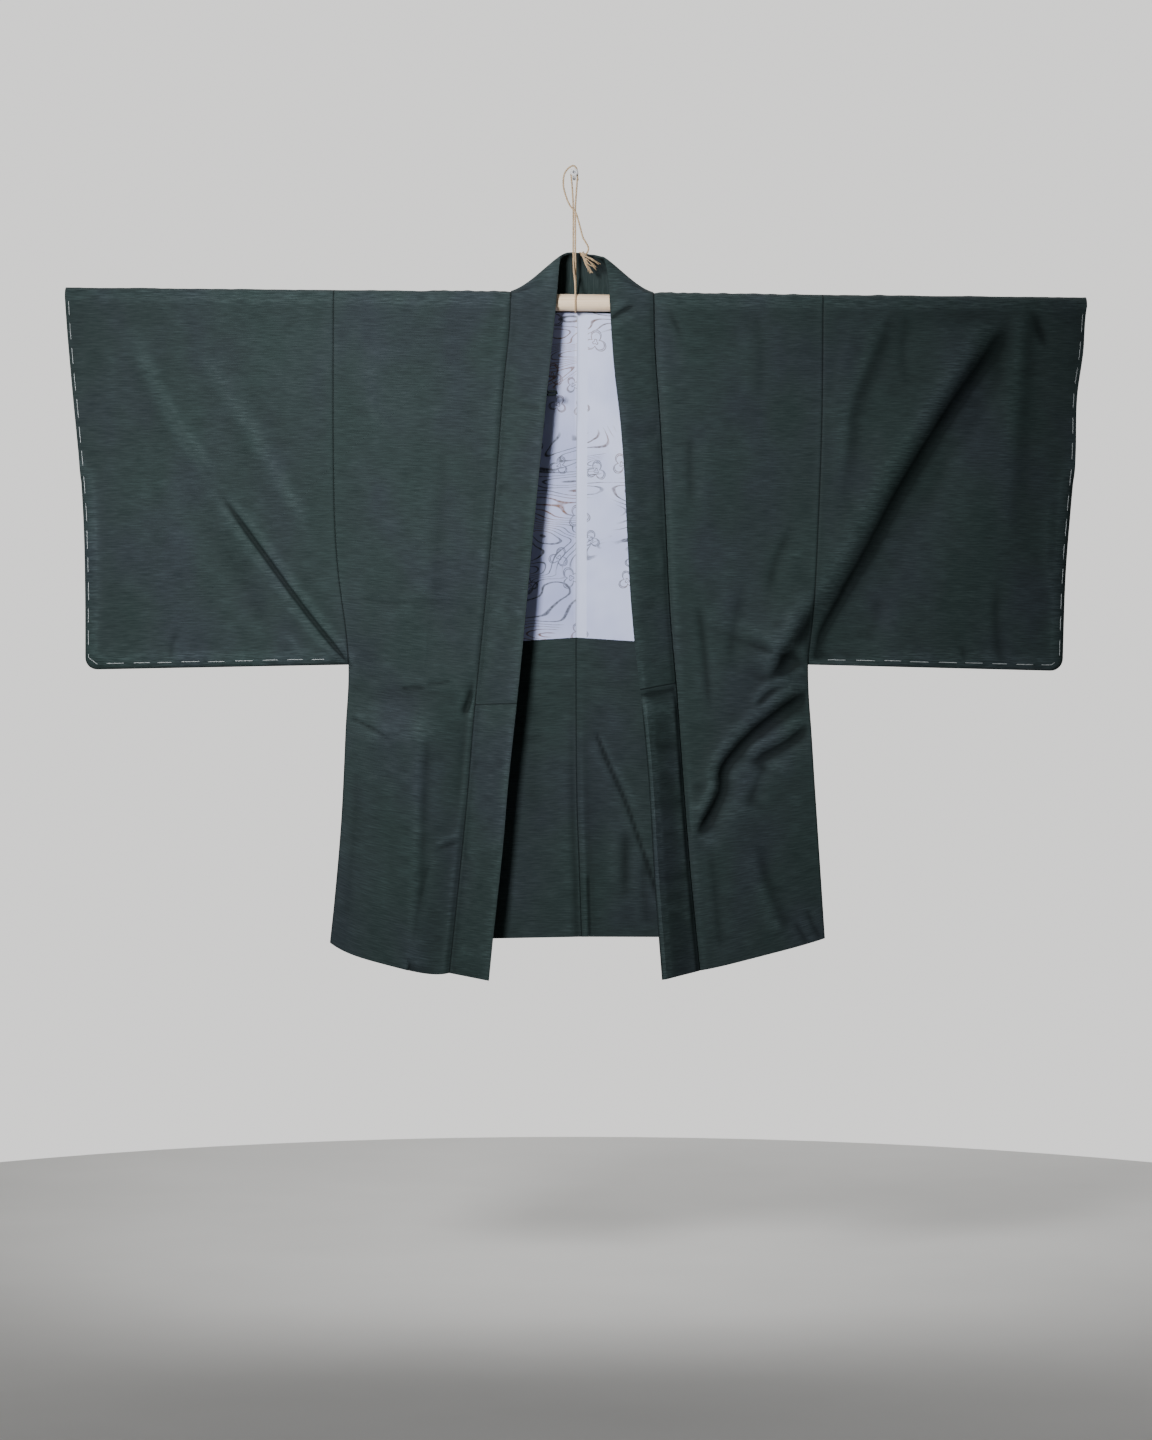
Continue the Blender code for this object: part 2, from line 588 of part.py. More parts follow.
def panel_depth(panel, x, z):
    """The depth of a panel at a place near its side edge, straight between its rows."""
    rows = panel[TURN_ROWS:]
    for upper, lower in zip(rows, rows[1:]):
        high, low = upper[0][0][2], lower[0][0][2]
        if low <= z <= high:
            return mix(row_depth(upper, x), row_depth(lower, x), (high - z) / (high - low))
    return row_depth(rows[-1], x)


# Collar

Lapel = namedtuple("Lapel", "body inner inner_column inner_hem")
LEFT_LAPEL = Lapel(LEFT_BODY, LEFT_LAPEL_INNER, "left_inner", -1044.0)
RIGHT_LAPEL = Lapel(RIGHT_BODY, RIGHT_LAPEL_INNER, "right_inner", -1042.0)


def lapel_rows(lapel):
    """A lapel's rows from the rod to the hem, each from its sewn edge to its free edge."""
    body = lapel.body
    outer_heights = lapel_heights(body, rod_z(body.lapel[0].x), body.lapel_hem)
    inner_heights = lapel_heights(body, lapel.inner[1].z, lapel.inner_hem)
    rows = []
    for outer_z, inner_z in zip(outer_heights, inner_heights):
        outer_x = read(body.lapel, "x", outer_z) - body.out * GAP / 2
        outer = Vector((outer_x, depth("lapel_outer", outer_z), outer_z))
        inner = Vector((read(lapel.inner, "x", inner_z), depth(lapel.inner_column, inner_z), inner_z))
        rows.append([(tuple(outer.lerp(inner, k / LAPEL_COLUMNS)), (0, -1, 0))
                     for k in range(LAPEL_COLUMNS + 1)])
    return rows


def shift(rows, up):
    """Copies of rows with all their points moved up."""
    return [[((x, y, z + up), direction) for (x, y, z), direction in row] for row in rows]


def neck_rows():
    """The collar's rows round the neck, each from its sewn edge to its free edge."""
    ends = []
    for turn in NECK:
        angle = math.radians(turn.angle)
        outer = Vector((turn.outer_x, ROD_Y - turn.radius * math.cos(angle),
                        rod_z(turn.outer_x) + turn.radius * math.sin(angle) - turn.drop))
        ends.append((outer, Vector((turn.inner_x, turn.inner_y, turn.inner_z)), angle))
    rows = []
    for i, (outer, inner, angle) in enumerate(ends):
        before, after = ends[max(i - 1, 0)], ends[min(i + 1, len(ends) - 1)]
        row = []
        for k in range(LAPEL_COLUMNS + 1):
            t = k / LAPEL_COLUMNS
            along = after[0].lerp(after[1], t) - before[0].lerp(before[1], t)
            facing = (inner - outer).cross(along).normalized()
            radial = Vector((0, -math.cos(angle), math.sin(angle)))
            direction = radial if k == 0 else facing
            row.append((tuple(outer.lerp(inner, t)), tuple(direction)))
        rows.append(row)
    return rows


# Rod, screw, twine and small loops

def make_rod(collection, surface):
    """The rod through both sleeves."""
    length = (ROD_RIGHT - ROD_LEFT) * math.hypot(1, ROD_SLOPE)
    middle = (ROD_LEFT + ROD_RIGHT) / 2
    mesh = bmesh.new()
    bmesh.ops.create_cone(
        mesh, cap_ends=True, segments=ROD_SIDES, radius1=ROD_DIAMETER / 2 * MM, radius2=ROD_DIAMETER / 2 * MM,
        depth=length * MM)
    data = bpy.data.meshes.new("rod")
    mesh.to_mesh(data)
    mesh.free()
    rod = place(bpy.data.objects.new("rod", data), collection, surface)
    rod.rotation_euler = (0, math.pi / 2 - math.atan(ROD_SLOPE), 0)
    rod.location = Vector((middle, ROD_Y, rod_z(middle))) * MM
    for face in data.polygons:
        face.use_smooth = len(face.vertices) == 4
    return rod


def make_screw(collection, surface):
    """The screw, a turned profile whose axis runs into the wall."""
    head, shank = SCREW_HEAD_DIAMETER / 2, SCREW_SHANK_DIAMETER / 2
    top = SCREW_HEAD_OUT
    profile = [
        (0.0, top), (head * 0.55, top - 0.3), (head * 0.88, top - 1.3), (head, top - 2.5),
        (head, top - 3.2), (shank, top - SCREW_HEAD_DEPTH), (shank, -SCREW_BURIED + 5), (0.0, -SCREW_BURIED)]
    data = bpy.data.meshes.new("wall_screw")
    edges = [(k, k + 1) for k in range(len(profile) - 1)]
    data.from_pydata([(r * MM, 0, z * MM) for r, z in profile], edges, [])
    screw = place(bpy.data.objects.new("wall_screw", data), collection, surface)
    turned = screw.modifiers.new("turned", "SCREW")
    turned.steps = turned.render_steps = 20
    turned.use_merge_vertices = True
    turned.merge_threshold = 0.00001
    screw.rotation_euler = (math.pi / 2, 0, 0)
    return screw


def loop_points():
    """The hanging loop: over the screw's shank, down both sides, and round the rod."""
    under = []
    for angle in (150, 180, 225, 270, 315, 360, 390):
        a = math.radians(angle)
        under.append((1.4, ROD_Y - TWINE_TURN * math.cos(a), ROD_Z + TWINE_TURN * math.sin(a)))
    return even_curve(LOOP_ROUTE + tuple(under) + LOOP_RETURN, LOOP_POINTS, closed=True)


def chi_points(lapel, reach):
    """A small loop behind a lapel, whose end lies so far past its free edge, or short of it."""
    inwards = -lapel.body.out
    edge_x, sewn_x = read(lapel.inner, "x", CHI_Z), read(lapel.body.lapel, "x", CHI_Z)
    edge_y, sewn_y = depth(lapel.inner_column, CHI_Z), depth("lapel_outer", CHI_Z)
    behind = COLLAR_CLOTH / 2 + GAP + CHI_DIAMETER / 2 + 0.4

    def at(back, up, out=0.0):
        hidden = max(0.0, back - reach) / abs(sewn_x - edge_x)
        return (edge_x + inwards * (reach - back), mix(edge_y, sewn_y, hidden) + behind - out, CHI_Z + up)

    half, lean = CHI_WIDTH / 2, 1.0 if reach > 0 else 0.0
    places = [
        at(CHI_LENGTH, half, -1.2), at(CHI_LENGTH * 0.57, half), at(2.4, half * 0.86, lean), at(0.0, 0.0, lean),
        at(2.4, -half * 0.86, lean), at(CHI_LENGTH * 0.57, -half), at(CHI_LENGTH, -half, -1.2)]
    return even_curve(places, 13)


def main():
    """Build the haori and what holds it."""
    clear_scene()
    haori = bpy.data.collections.new("haori")
    bpy.context.scene.collection.children.link(haori)
    silk = material("silk", SILK)
    lining = material("lining", LINING)
    twine = material("twine", TWINE)

    for side, sleeve in (("left", LEFT_SLEEVE), ("right", RIGHT_SLEEVE)):
        wall(f"sleeve_{side}_front", sleeve_half(sleeve, -1, SLEEVE_ROWS), CLOTH, haori, silk)
        wall(f"sleeve_{side}_back", sleeve_half(sleeve, 1, BACK_ROWS, BACK_LEAD), CLOTH, haori, silk)

    for side, body in (("left", LEFT_BODY), ("right", RIGHT_BODY)):
        front, back = front_panel(body), back_panel(body)
        wall(f"front_{side}", front, CLOTH, haori, silk)
        wall(f"back_{side}", back, CLOTH, haori, silk)
        wall(f"lining_{side}", lining_half(back), LINING_CLOTH, haori, lining)
        wall(f"gusset_{side}", gusset(body, front, back), GUSSET_CLOTH, haori, silk)

    left, right = lapel_rows(LEFT_LAPEL), lapel_rows(RIGHT_LAPEL)
    upper_left = left[:JOIN_ROW] + shift(left[JOIN_ROW:JOIN_ROW + 1], GAP / 2)
    upper_right = right[:JOIN_ROW] + shift(right[JOIN_ROW:JOIN_ROW + 1], GAP / 2)
    wall("collar", upper_left[::-1] + neck_rows() + upper_right, COLLAR_CLOTH, haori, silk)
    for side, rows in (("left", left), ("right", right)):
        lower = shift(rows[JOIN_ROW:JOIN_ROW + 1], -GAP / 2) + rows[JOIN_ROW + 1:]
        wall(f"collar_end_{side}", lower, COLLAR_CLOTH, haori, silk)

    for side, lapel in (("left", LEFT_LAPEL), ("right", RIGHT_LAPEL)):
        tube(f"cord_loop_{side}", chi_points(lapel, CHI_REACH[side]), CHI_DIAMETER, haori, silk)
    make_rod(haori, material("rod_wood", ROD_WOOD))
    make_screw(haori, material("screw_paint", SCREW_PAINT))
    tube("twine_loop", loop_points(), TWINE_DIAMETER, haori, twine, closed=True)
    tube("twine_tail", even_curve(TAIL_ROUTE, TAIL_POINTS), TWINE_DIAMETER, haori, twine)


main()
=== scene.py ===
"""A man's lined haori jacket, hung flat on a wooden rod that twine holds from a painted screw.

The silk, the printed lining, the rod, the screw, the twine and the white basting stitches are built over
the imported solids, in the same frame. X runs to the viewer's right, Y into the wall and Z up. The origin
is where the screw's axis meets the plane of the wall. Sizes are in millimetres until a mesh is made.
"""

import logging
import math
from dataclasses import dataclass
from enum import Enum

import bpy
import numpy as np
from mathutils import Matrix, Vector


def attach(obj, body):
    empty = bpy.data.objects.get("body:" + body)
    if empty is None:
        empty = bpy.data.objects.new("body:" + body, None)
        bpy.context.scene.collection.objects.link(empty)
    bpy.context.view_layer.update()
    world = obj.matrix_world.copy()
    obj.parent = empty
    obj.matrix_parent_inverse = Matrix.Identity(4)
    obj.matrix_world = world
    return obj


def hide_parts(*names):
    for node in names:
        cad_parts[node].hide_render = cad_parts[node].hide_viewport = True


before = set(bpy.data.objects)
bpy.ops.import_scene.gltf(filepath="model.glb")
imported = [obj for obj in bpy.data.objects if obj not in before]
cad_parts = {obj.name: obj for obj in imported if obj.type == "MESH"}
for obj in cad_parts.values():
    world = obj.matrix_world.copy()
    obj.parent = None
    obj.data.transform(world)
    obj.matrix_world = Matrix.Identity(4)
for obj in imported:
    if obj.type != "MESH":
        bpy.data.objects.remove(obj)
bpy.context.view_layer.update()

MM = 0.001
LOG = logging.getLogger("haori")

GAP = 0.3                   # between two pieces that touch
SEWN = 0.12                 # how far each of two sewn pieces runs on past their seam
CLOTH = 2.0                 # silk with its lining
COLLAR_CLOTH = 3.0          # collar, folded double
ROD_DIAMETER = 22.0
ROD_Y = -26.0
ROD_Z = -168.0              # rod's axis straight below the screw
ROD_SLOPE = -0.0098         # rise for each millimetre to the right
WRAP = ROD_DIAMETER / 2 + GAP + CLOTH / 2
LAPEL_WIDTH = 62.0          # of the cloth; the lapels hang 51 to 60 wide
CORNER = 15.0               # radius of a sleeve's lower corner, and of the sewn edges' roundness
DEEPEST = -6.0              # a crease deeper than this is held back, to keep clear of the layer behind
HELD_BACK = 3.2             # and goes no more than this beyond it
NO_SEAM = 99.0              # distance to a seam where there is none near
NEAR_SEAM = np.array([0.0, 0.6, 1.3, 2.2, 3.4, 5.0])    # distances of the columns nearest to a seam

Shell = tuple[np.ndarray, np.ndarray, np.ndarray]       # vertices, faces padded with -1, place on the cloth
Place = tuple[float, float, float]
Tree = bpy.types.NodeTree
Output = bpy.types.NodeSocket
Material = bpy.types.Material
Object = bpy.types.Object


class Side(Enum):
    """The jacket's two sides, as the viewer sees them."""

    LEFT = -1
    RIGHT = 1

    @property
    def word(self) -> str:
        """The side's name as the solids spell it."""
        return self.name.lower()

    @property
    def index(self) -> int:
        """The side's place in a pair of sizes, the left one first."""
        return 0 if self is Side.LEFT else 1


class Layer(Enum):
    """A sleeve's or the body's two layers."""

    FRONT = -1
    BACK = 1


class Shape(Enum):
    """How the cloth rises across a crease."""

    FOLD = "a soft ridge or trough"
    TUCK = "a steep wall between a high side and a low side"


# Lines, curves and relief


def smooth(t: np.ndarray | float) -> np.ndarray:
    """An even step from 0 to 1 with level ends."""
    t = np.clip(t, 0.0, 1.0)
    return t * t * (3.0 - 2.0 * t)


def mix(a: np.ndarray | float, b: np.ndarray | float, t: np.ndarray | float) -> np.ndarray:
    """The value a part t of the way from a to b."""
    return a + (b - a) * t


def rod_z(x: np.ndarray | float) -> np.ndarray | float:
    """Height of the rod's axis at a place from side to side."""
    return ROD_Z + ROD_SLOPE * x


def below_rod(top: float, z: np.ndarray) -> np.ndarray:
    """How free the cloth is of the rod: 0 on the rod and 1 a little way below it."""
    return smooth((top + 6 - z) / 46)


def unit(vectors: np.ndarray) -> np.ndarray:
    """Vectors at the same directions, each one long."""
    return vectors / np.linalg.norm(vectors, axis=-1)[..., None]


def distance_along(points: np.ndarray) -> np.ndarray:
    """Each point's distance from the first one, along the line through them."""
    return np.concatenate(([0.0], np.cumsum(np.linalg.norm(np.diff(points, axis=0), axis=1))))


def facing(x: np.ndarray, layer: Layer) -> np.ndarray:
    """The same direction at every place of a grid: to the viewer, or to the wall."""
    directions = np.zeros((*x.shape, 3))
    directions[..., 1] = layer.value
    return directions


@dataclass(frozen=True)
class Line:
    """A smooth line down the jacket, given by rows of height and value, highest first."""

    rows: tuple[tuple[float, float], ...]

    def at(self, z: np.ndarray | float) -> np.ndarray:
        """Read the line.

        Args:
            z: Heights.

        Returns:
            The value at each height, level beyond the ends.
        """
        heights = np.array([-row[0] for row in self.rows])
        values = np.array([row[1] for row in self.rows])
        at = np.clip(-np.asarray(z, float), heights[0], heights[-1])
        i = np.clip(np.searchsorted(heights, at, side="right") - 1, 0, len(heights) - 2)
        slopes = np.diff(values) / np.diff(heights)
        middle = np.concatenate(([slopes[0]], (slopes[:-1] + slopes[1:]) / 2, [slopes[-1]]))
        span = heights[i + 1] - heights[i]
        t = (at - heights[i]) / span
        return (values[i] * (2 * t**3 - 3 * t**2 + 1) + span * middle[i] * (t**3 - 2 * t**2 + t)
                + values[i + 1] * (3 * t**2 - 2 * t**3) + span * middle[i + 1] * (t**3 - t**2))


def curve_through(places: list | tuple, count: int, closed: bool = False) -> np.ndarray:
    """Even points along a smooth curve through places.

    Args:
        places: Points of two or three coordinates.
        count: How many points to give.
        closed: Whether the last place joins the first.

    Returns:
        One row for each point.
    """
    p = np.asarray(places, float)
    n = len(p)
    if closed:
        p = np.concatenate((p[-1:], p, p[:2]))
        spans = n
    else:
        p = np.concatenate((p[:1], p, p[-1:]))
        spans = n - 1
    t = np.linspace(0, 1, 16, endpoint=False)[:, None]
    fine = []
    for i in range(spans):
        a, b, c, d = p[i:i + 4]
        fine.append(0.5 * (2 * b + (c - a) * t + (2 * a - 5 * b + 4 * c - d) * t**2
                           + (3 * b - a - 3 * c + d) * t**3))
    fine.append(p[1:2] if closed else p[-1:])
    fine = np.concatenate(fine)
    length = distance_along(fine)
    at = np.linspace(0, length[-1], count, endpoint=not closed)
    return np.stack([np.interp(at, length, fine[:, k]) for k in range(p.shape[1])], axis=1)


@dataclass(frozen=True)
class Crease:
    """One ridge, trough or tuck in the cloth, along a curve in the jacket's front plane.

    A positive height stands out to the front on every layer. A tuck is high on the left of its path and
    low on the right, seen along the path from its first place, and the other way below zero.
    """

    path: tuple[tuple[float, float], ...]
    height: float
    left: float                                 # width on the left of the path
    right: float                                # width on its right
    shape: Shape = Shape.FOLD
    steep: float = 5.0                          # half width of a tuck's steep wall
    power: float = 1.6                          # 1 gives a pinched crest, 2 a round one
    spread: tuple[float, float] = (1.0, 1.0)    # how much wider it is at its start and its end
    fade: tuple[float, float] = (0.25, 0.35)    # parts of its length over which it rises and dies away

    def rise(self, x: np.ndarray, z: np.ndarray) -> np.ndarray:
        """Height of the crease.

        Args:
            x: Places from side to side.
            z: Heights of the same places.

        Returns:
            How far the crease lifts the cloth there.
        """
        points = curve_through(self.path, 25)
        reach = 3.0 * max(self.left, self.right) * max(self.spread)
        low, high = points.min(axis=0) - reach, points.max(axis=0) + reach
        inside = (x > low[0]) & (x < high[0]) & (z > low[1]) & (z < high[1])
        total = np.zeros_like(x)
        if not inside.any():
            return total
        px, pz = x[inside], z[inside]
        best = np.full(px.shape, 1e9)
        signed = np.zeros(px.shape)
        along = np.zeros(px.shape)
        for k, (a, b) in enumerate(zip(points, points[1:])):
            run = b - a
            size = float(np.hypot(*run)) or 1.0
            t = np.clip(((px - a[0]) * run[0] + (pz - a[1]) * run[1]) / size**2, 0, 1)
            far = np.hypot(px - a[0] - run[0] * t, pz - a[1] - run[1] * t)
            cross = (run[0] * (pz - a[1]) - run[1] * (px - a[0])) / size
            nearer = far < best
            best = np.where(nearer, far, best)
            signed = np.where(nearer, -cross, signed)
            along = np.where(nearer, (k + t) / (len(points) - 1), along)
        widen = mix(*self.spread, along)
        width = np.where(signed < 0, self.left, self.right) * widen
        first, last = (max(part, 0.02) for part in self.fade)
        ends = smooth((along + 0.02) / first) * smooth((1.02 - along) / last)
        value = self.height * ends * np.exp(-(best / width) ** self.power)
        if self.shape is Shape.TUCK:
            value = value * -np.tanh(signed / (self.steep * widen))
        total[inside] = value
        return total


def relief(creases: tuple[Crease, ...], x: np.ndarray, z: np.ndarray) -> np.ndarray:
    """The sum of several creases at the same places, kept clear of the layer behind."""
    total = np.zeros_like(x)
    for crease in creases:
        total += crease.rise(x, z)
    held = DEEPEST + HELD_BACK * np.tanh((total - DEEPEST) / HELD_BACK)
    return np.where(total < DEEPEST, held, total)


def unevenness(x: np.ndarray, z: np.ndarray, size: float, seed: int) -> np.ndarray:
    """A smooth random surface.

    Args:
        x: Places from side to side.
        z: Heights of the same places.
        size: Distance between neighbouring swells.
        seed: Which surface.

    Returns:
        Values between about -1 and 1.
    """
    lattice = np.random.default_rng(seed).uniform(-1, 1, (64, 64))
    gx, gz = x / size + 31.3, z / size + 29.7
    ix, iz = np.floor(gx).astype(int), np.floor(gz).astype(int)
    tx, tz = smooth(gx - ix), smooth(gz - iz)
    corner = [[lattice[(ix + a) % 64, (iz + b) % 64] for b in (0, 1)] for a in (0, 1)]
    return mix(mix(corner[0][0], corner[1][0], tx), mix(corner[0][1], corner[1][1], tx), tz)


# Meshes


@dataclass
class Wall:
    """A thin closed cloth shell from a grid of points on its middle surface."""

    points: np.ndarray          # rows, columns, 3
    directions: np.ndarray      # unit direction to the outer face, same grid
    along: np.ndarray           # the cloth's own place down each point, for its weave
    across: np.ndarray          # and from side to side
    seam: np.ndarray            # distance to the nearest seam
    thickness: float = CLOTH

    def hollow(self) -> np.ndarray:
        """How far each place lies below the cloth round it, as in a crease, seen from outside."""
        below = np.einsum("ijk,ijk->ij", softened(self.points, 3) - self.points, self.directions)
        near = np.minimum(np.abs(self.seam), 6.0) / 6.0
        return np.clip(below, -1.5, 1.5) * near

    def build(self, name: str, finish: Material) -> Object:
        """Make the shell as an object.

        Args:
            name: The object's name.
            finish: Its material.

        Returns:
            The new object, at the origin.
        """
        rows, columns = self.points.shape[:2]
        count = rows * columns
        half = self.directions * self.thickness / 2
        places = np.concatenate(((self.points + half).reshape(-1, 3), (self.points - half).reshape(-1, 3)))
        index = np.arange(count).reshape(rows, columns)
        a, b = index[:-1, :-1].ravel(), index[1:, :-1].ravel()
        c, d = index[1:, 1:].ravel(), index[:-1, 1:].ravel()
        outer = np.stack((a, b, c, d), axis=1)
        inner = np.stack((a, d, c, b), axis=1) + count
        ring = np.concatenate((index[0], index[1:, -1], index[-1, -2::-1], index[-2:0:-1, 0]))
        after = np.roll(ring, -1)
        rim = np.stack((ring, after, after + count, ring + count), axis=1)
        faces = np.concatenate((outer, inner, rim))
        uv = np.tile(np.stack((self.across.ravel(), self.along.ravel()), axis=1), (2, 1))
        made = closed_object(name, places, faces.tolist(), uv, finish)
        hollow = self.hollow().ravel()
        marks = {"seam": np.tile(self.seam.ravel(), 2), "hollow": np.concatenate((hollow, -hollow))}
        for mark, values in marks.items():
            kept = made.data.attributes.new(mark, "FLOAT", "POINT")
            kept.data.foreach_set("value", values.astype(np.float32))
        made.data.set_sharp_from_angle(angle=math.radians(60))
        return made


def softened(values: np.ndarray, reach: int) -> np.ndarray:
    """A grid's values averaged over neighbours so many places away, twice, in both directions."""
    for axis in (0, 1, 0, 1):
        pad = [(reach + 1, reach) if k == axis else (0, 0) for k in range(values.ndim)]
        total = np.cumsum(np.pad(values, pad, mode="edge"), axis=axis)
        size = values.shape[axis]
        high = np.take(total, np.arange(2 * reach + 1, 2 * reach + 1 + size), axis=axis)
        low = np.take(total, np.arange(size), axis=axis)
        values = (high - low) / (2 * reach + 1)
    return values


def signed_volume(mesh: bpy.types.Mesh) -> float:
    """A closed mesh's volume, below zero where its faces point inwards."""
    mesh.calc_loop_triangles()
    co = np.empty(len(mesh.vertices) * 3, np.float32)
    mesh.vertices.foreach_get("co", co)
    tri = np.empty(len(mesh.loop_triangles) * 3, np.int32)
    mesh.loop_triangles.foreach_get("vertices", tri)
    p = co.reshape(-1, 3).astype(float)[tri.reshape(-1, 3)]
    return float(np.einsum("ij,ij->i", p[:, 0], np.cross(p[:, 1], p[:, 2])).sum() / 6)


def tube_parts(points: np.ndarray, radius: float | np.ndarray, sides: int, closed: bool = False,
               lobes: int = 0, depth: float = 0.0, pitch: float = 8.0) -> Shell:
    """The shell of a cord along points.

    Args:
        points: Places on the cord's middle, in millimetres.
        radius: The cord's radius, one for all or one for each point.
        sides: Sides of its section.
        closed: Whether the cord is a ring.
        lobes: How many strands its section shows.
        depth: How far the grooves between strands go in, as a part of the radius.
        pitch: Length in which a strand goes once round.

    Returns:
        Vertices, faces of four or three corners padded with -1, and each vertex's place along and round.
    """
    n = len(points)
    radius = np.broadcast_to(np.asarray(radius, float), (n,))
    ahead = np.roll(points, -1, axis=0) - np.roll(points, 1, axis=0)
    if not closed:
        ahead[0], ahead[-1] = points[1] - points[0], points[-1] - points[-2]
    ahead = unit(ahead)
    up = np.array([0.0, -1.0, 0.0])
    if abs(ahead[0] @ up) > 0.9:
        up = np.array([1.0, 0.0, 0.0])
    side = np.empty_like(points)
    for k in range(n):
        side[k] = unit(up - ahead[k] * (ahead[k] @ up))
        up = side[k]
    other = np.cross(ahead, side)
    length = distance_along(points)
    twist, turns = np.zeros(n), length / pitch
    if closed:
        wanted = np.arctan2(np.cross(side[-1], side[0]) @ ahead[0], side[-1] @ side[0])
        twist = wanted * length / length[-1]
        turns = np.round(length[-1] / pitch) * length / length[-1]
    angle = np.linspace(0, 2 * np.pi, sides, endpoint=False)
    total = angle[None, :] + twist[:, None]
    wave = 1.0 - depth * (0.5 - 0.5 * np.cos(lobes * (angle[None, :] - 2 * np.pi * turns[:, None])))
    r = radius[:, None] * wave
    verts = (points[:, None, :] + side[:, None, :] * (r * np.cos(total))[..., None]
             + other[:, None, :] * (r * np.sin(total))[..., None])
    index = np.arange(n * sides).reshape(n, sides)
    i = np.arange(n if closed else n - 1)
    a, b = index[i], index[(i + 1) % n]
    quads = np.stack((a, np.roll(a, -1, axis=1), np.roll(b, -1, axis=1), b), axis=2).reshape(-1, 4)
    uv = np.stack((np.broadcast_to(angle / (2 * np.pi), (n, sides)) * 6.0,
                   np.broadcast_to(length[:, None], (n, sides))), axis=2).reshape(-1, 2)
    verts = verts.reshape(-1, 3)
    if closed:
        return verts, quads, uv
    first, last = len(verts), len(verts) + 1
    tip, end_tip = points[:1] - ahead[:1] * radius[0] * 0.4, points[-1:] + ahead[-1:] * radius[-1] * 0.4
    verts = np.concatenate((verts, tip, end_tip))
    uv = np.concatenate((uv, [[0.0, 0.0]], [[0.0, length[-1]]]))
    pad = np.full(sides, -1)
    start = np.stack((np.full(sides, first), np.roll(index[0], -1), index[0], pad), axis=1)
    end = np.stack((np.full(sides, last), index[-1], np.roll(index[-1], -1), pad), axis=1)
    return verts, np.concatenate((quads, start, end)), uv


def closed_object(name: str, places: np.ndarray, faces: list, uv: np.ndarray,
                  finish: Material) -> Object:
    """A smooth object of one or more closed shells, its faces outwards.

    Args:
        name: The object's name.
        places: Its vertices, in millimetres.
        faces: Each face's corners.
        uv: A place on the cloth for each vertex, in millimetres.
        finish: Its material.

    Returns:
        The new object, at the origin.
    """
    mesh = bpy.data.meshes.new(name)
    mesh.from_pydata((places * MM).tolist(), [], faces)
    mesh.update()
    if signed_volume(mesh) < 0:
        mesh.flip_normals()
    corner = np.empty(len(mesh.loops), np.int32)
    mesh.loops.foreach_get("vertex_index", corner)
    mesh.uv_layers.new(name="cloth").data.foreach_set("uv", (uv[corner] * MM).astype(np.float32).ravel())
    mesh.polygons.foreach_set("use_smooth", np.ones(len(faces), bool))
    mesh.materials.append(finish)
    made = bpy.data.objects.new(name, mesh)
    bpy.context.scene.collection.objects.link(made)
    return made


def mesh_object(name: str, parts: list[Shell], finish: Material) -> Object:
    """One object of several shells.

    Args:
        name: The object's name.
        parts: The shells.
        finish: Its material.

    Returns:
        The new object, at the origin.
    """
    faces, base = [], 0
    for places, quads, _ in parts:
        faces.extend([[int(v) + base for v in face if v >= 0] for face in quads])
        base += len(places)
    places, uv = (np.concatenate([part[k] for part in parts]) for k in (0, 2))
    return closed_object(name, places, faces, uv, finish)


def dress(piece: Object, slot: str, *nodes: str) -> None:
    """Let a finished piece ride the jacket's one body and stand for its solids.

    Args:
        piece: The piece.
        slot: Not used.
        nodes: The solids that it replaces.
    """
    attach(piece, "root")
    if nodes:
        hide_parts(*nodes)


# Finishes


def linear(colour: str) -> tuple[float, float, float, float]:
    """An sRGB hex colour as the linear values that a shader takes."""
    values = [int(colour[k:k + 2], 16) / 255 for k in (1, 3, 5)]
    return (*(v / 12.92 if v <= 0.04045 else ((v + 0.055) / 1.055) ** 2.4 for v in values), 1.0)


def feed(tree: Tree, node: bpy.types.Node, inputs: dict) -> None:
    """Set a node's inputs.

    Args:
        tree: The node's tree.
        node: The node.
        inputs: For a socket's name or number, its value or the output that feeds it.
    """
    for socket, value in inputs.items():
        if isinstance(value, Output):
            tree.links.new(value, node.inputs[socket])
        else:
            node.inputs[socket].default_value = value


def add_node(tree: Tree, kind: str, inputs: dict | None = None,
             stops: tuple = (), **settings: object) -> bpy.types.NodeOutputs:
    """Add a shader node.

    Args:
        tree: The material's node tree.
        kind: Blender's name for the node, after "ShaderNode".
        inputs: For a socket's name or number, its value or the output that feeds it.
        stops: A colour ramp's places and hex colours.
        settings: The node's own properties.

    Returns:
        The new node's outputs.
    """
    node = tree.nodes.new("ShaderNode" + kind)
    for key, value in settings.items():
        setattr(node, key, value)
    feed(tree, node, inputs or {})
    for k, (place, colour) in enumerate(stops):
        ramp = node.color_ramp
        stop = ramp.elements[k] if k < len(ramp.elements) else ramp.elements.new(place)
        stop.position = place
        stop.color = linear(colour)
    return node.outputs


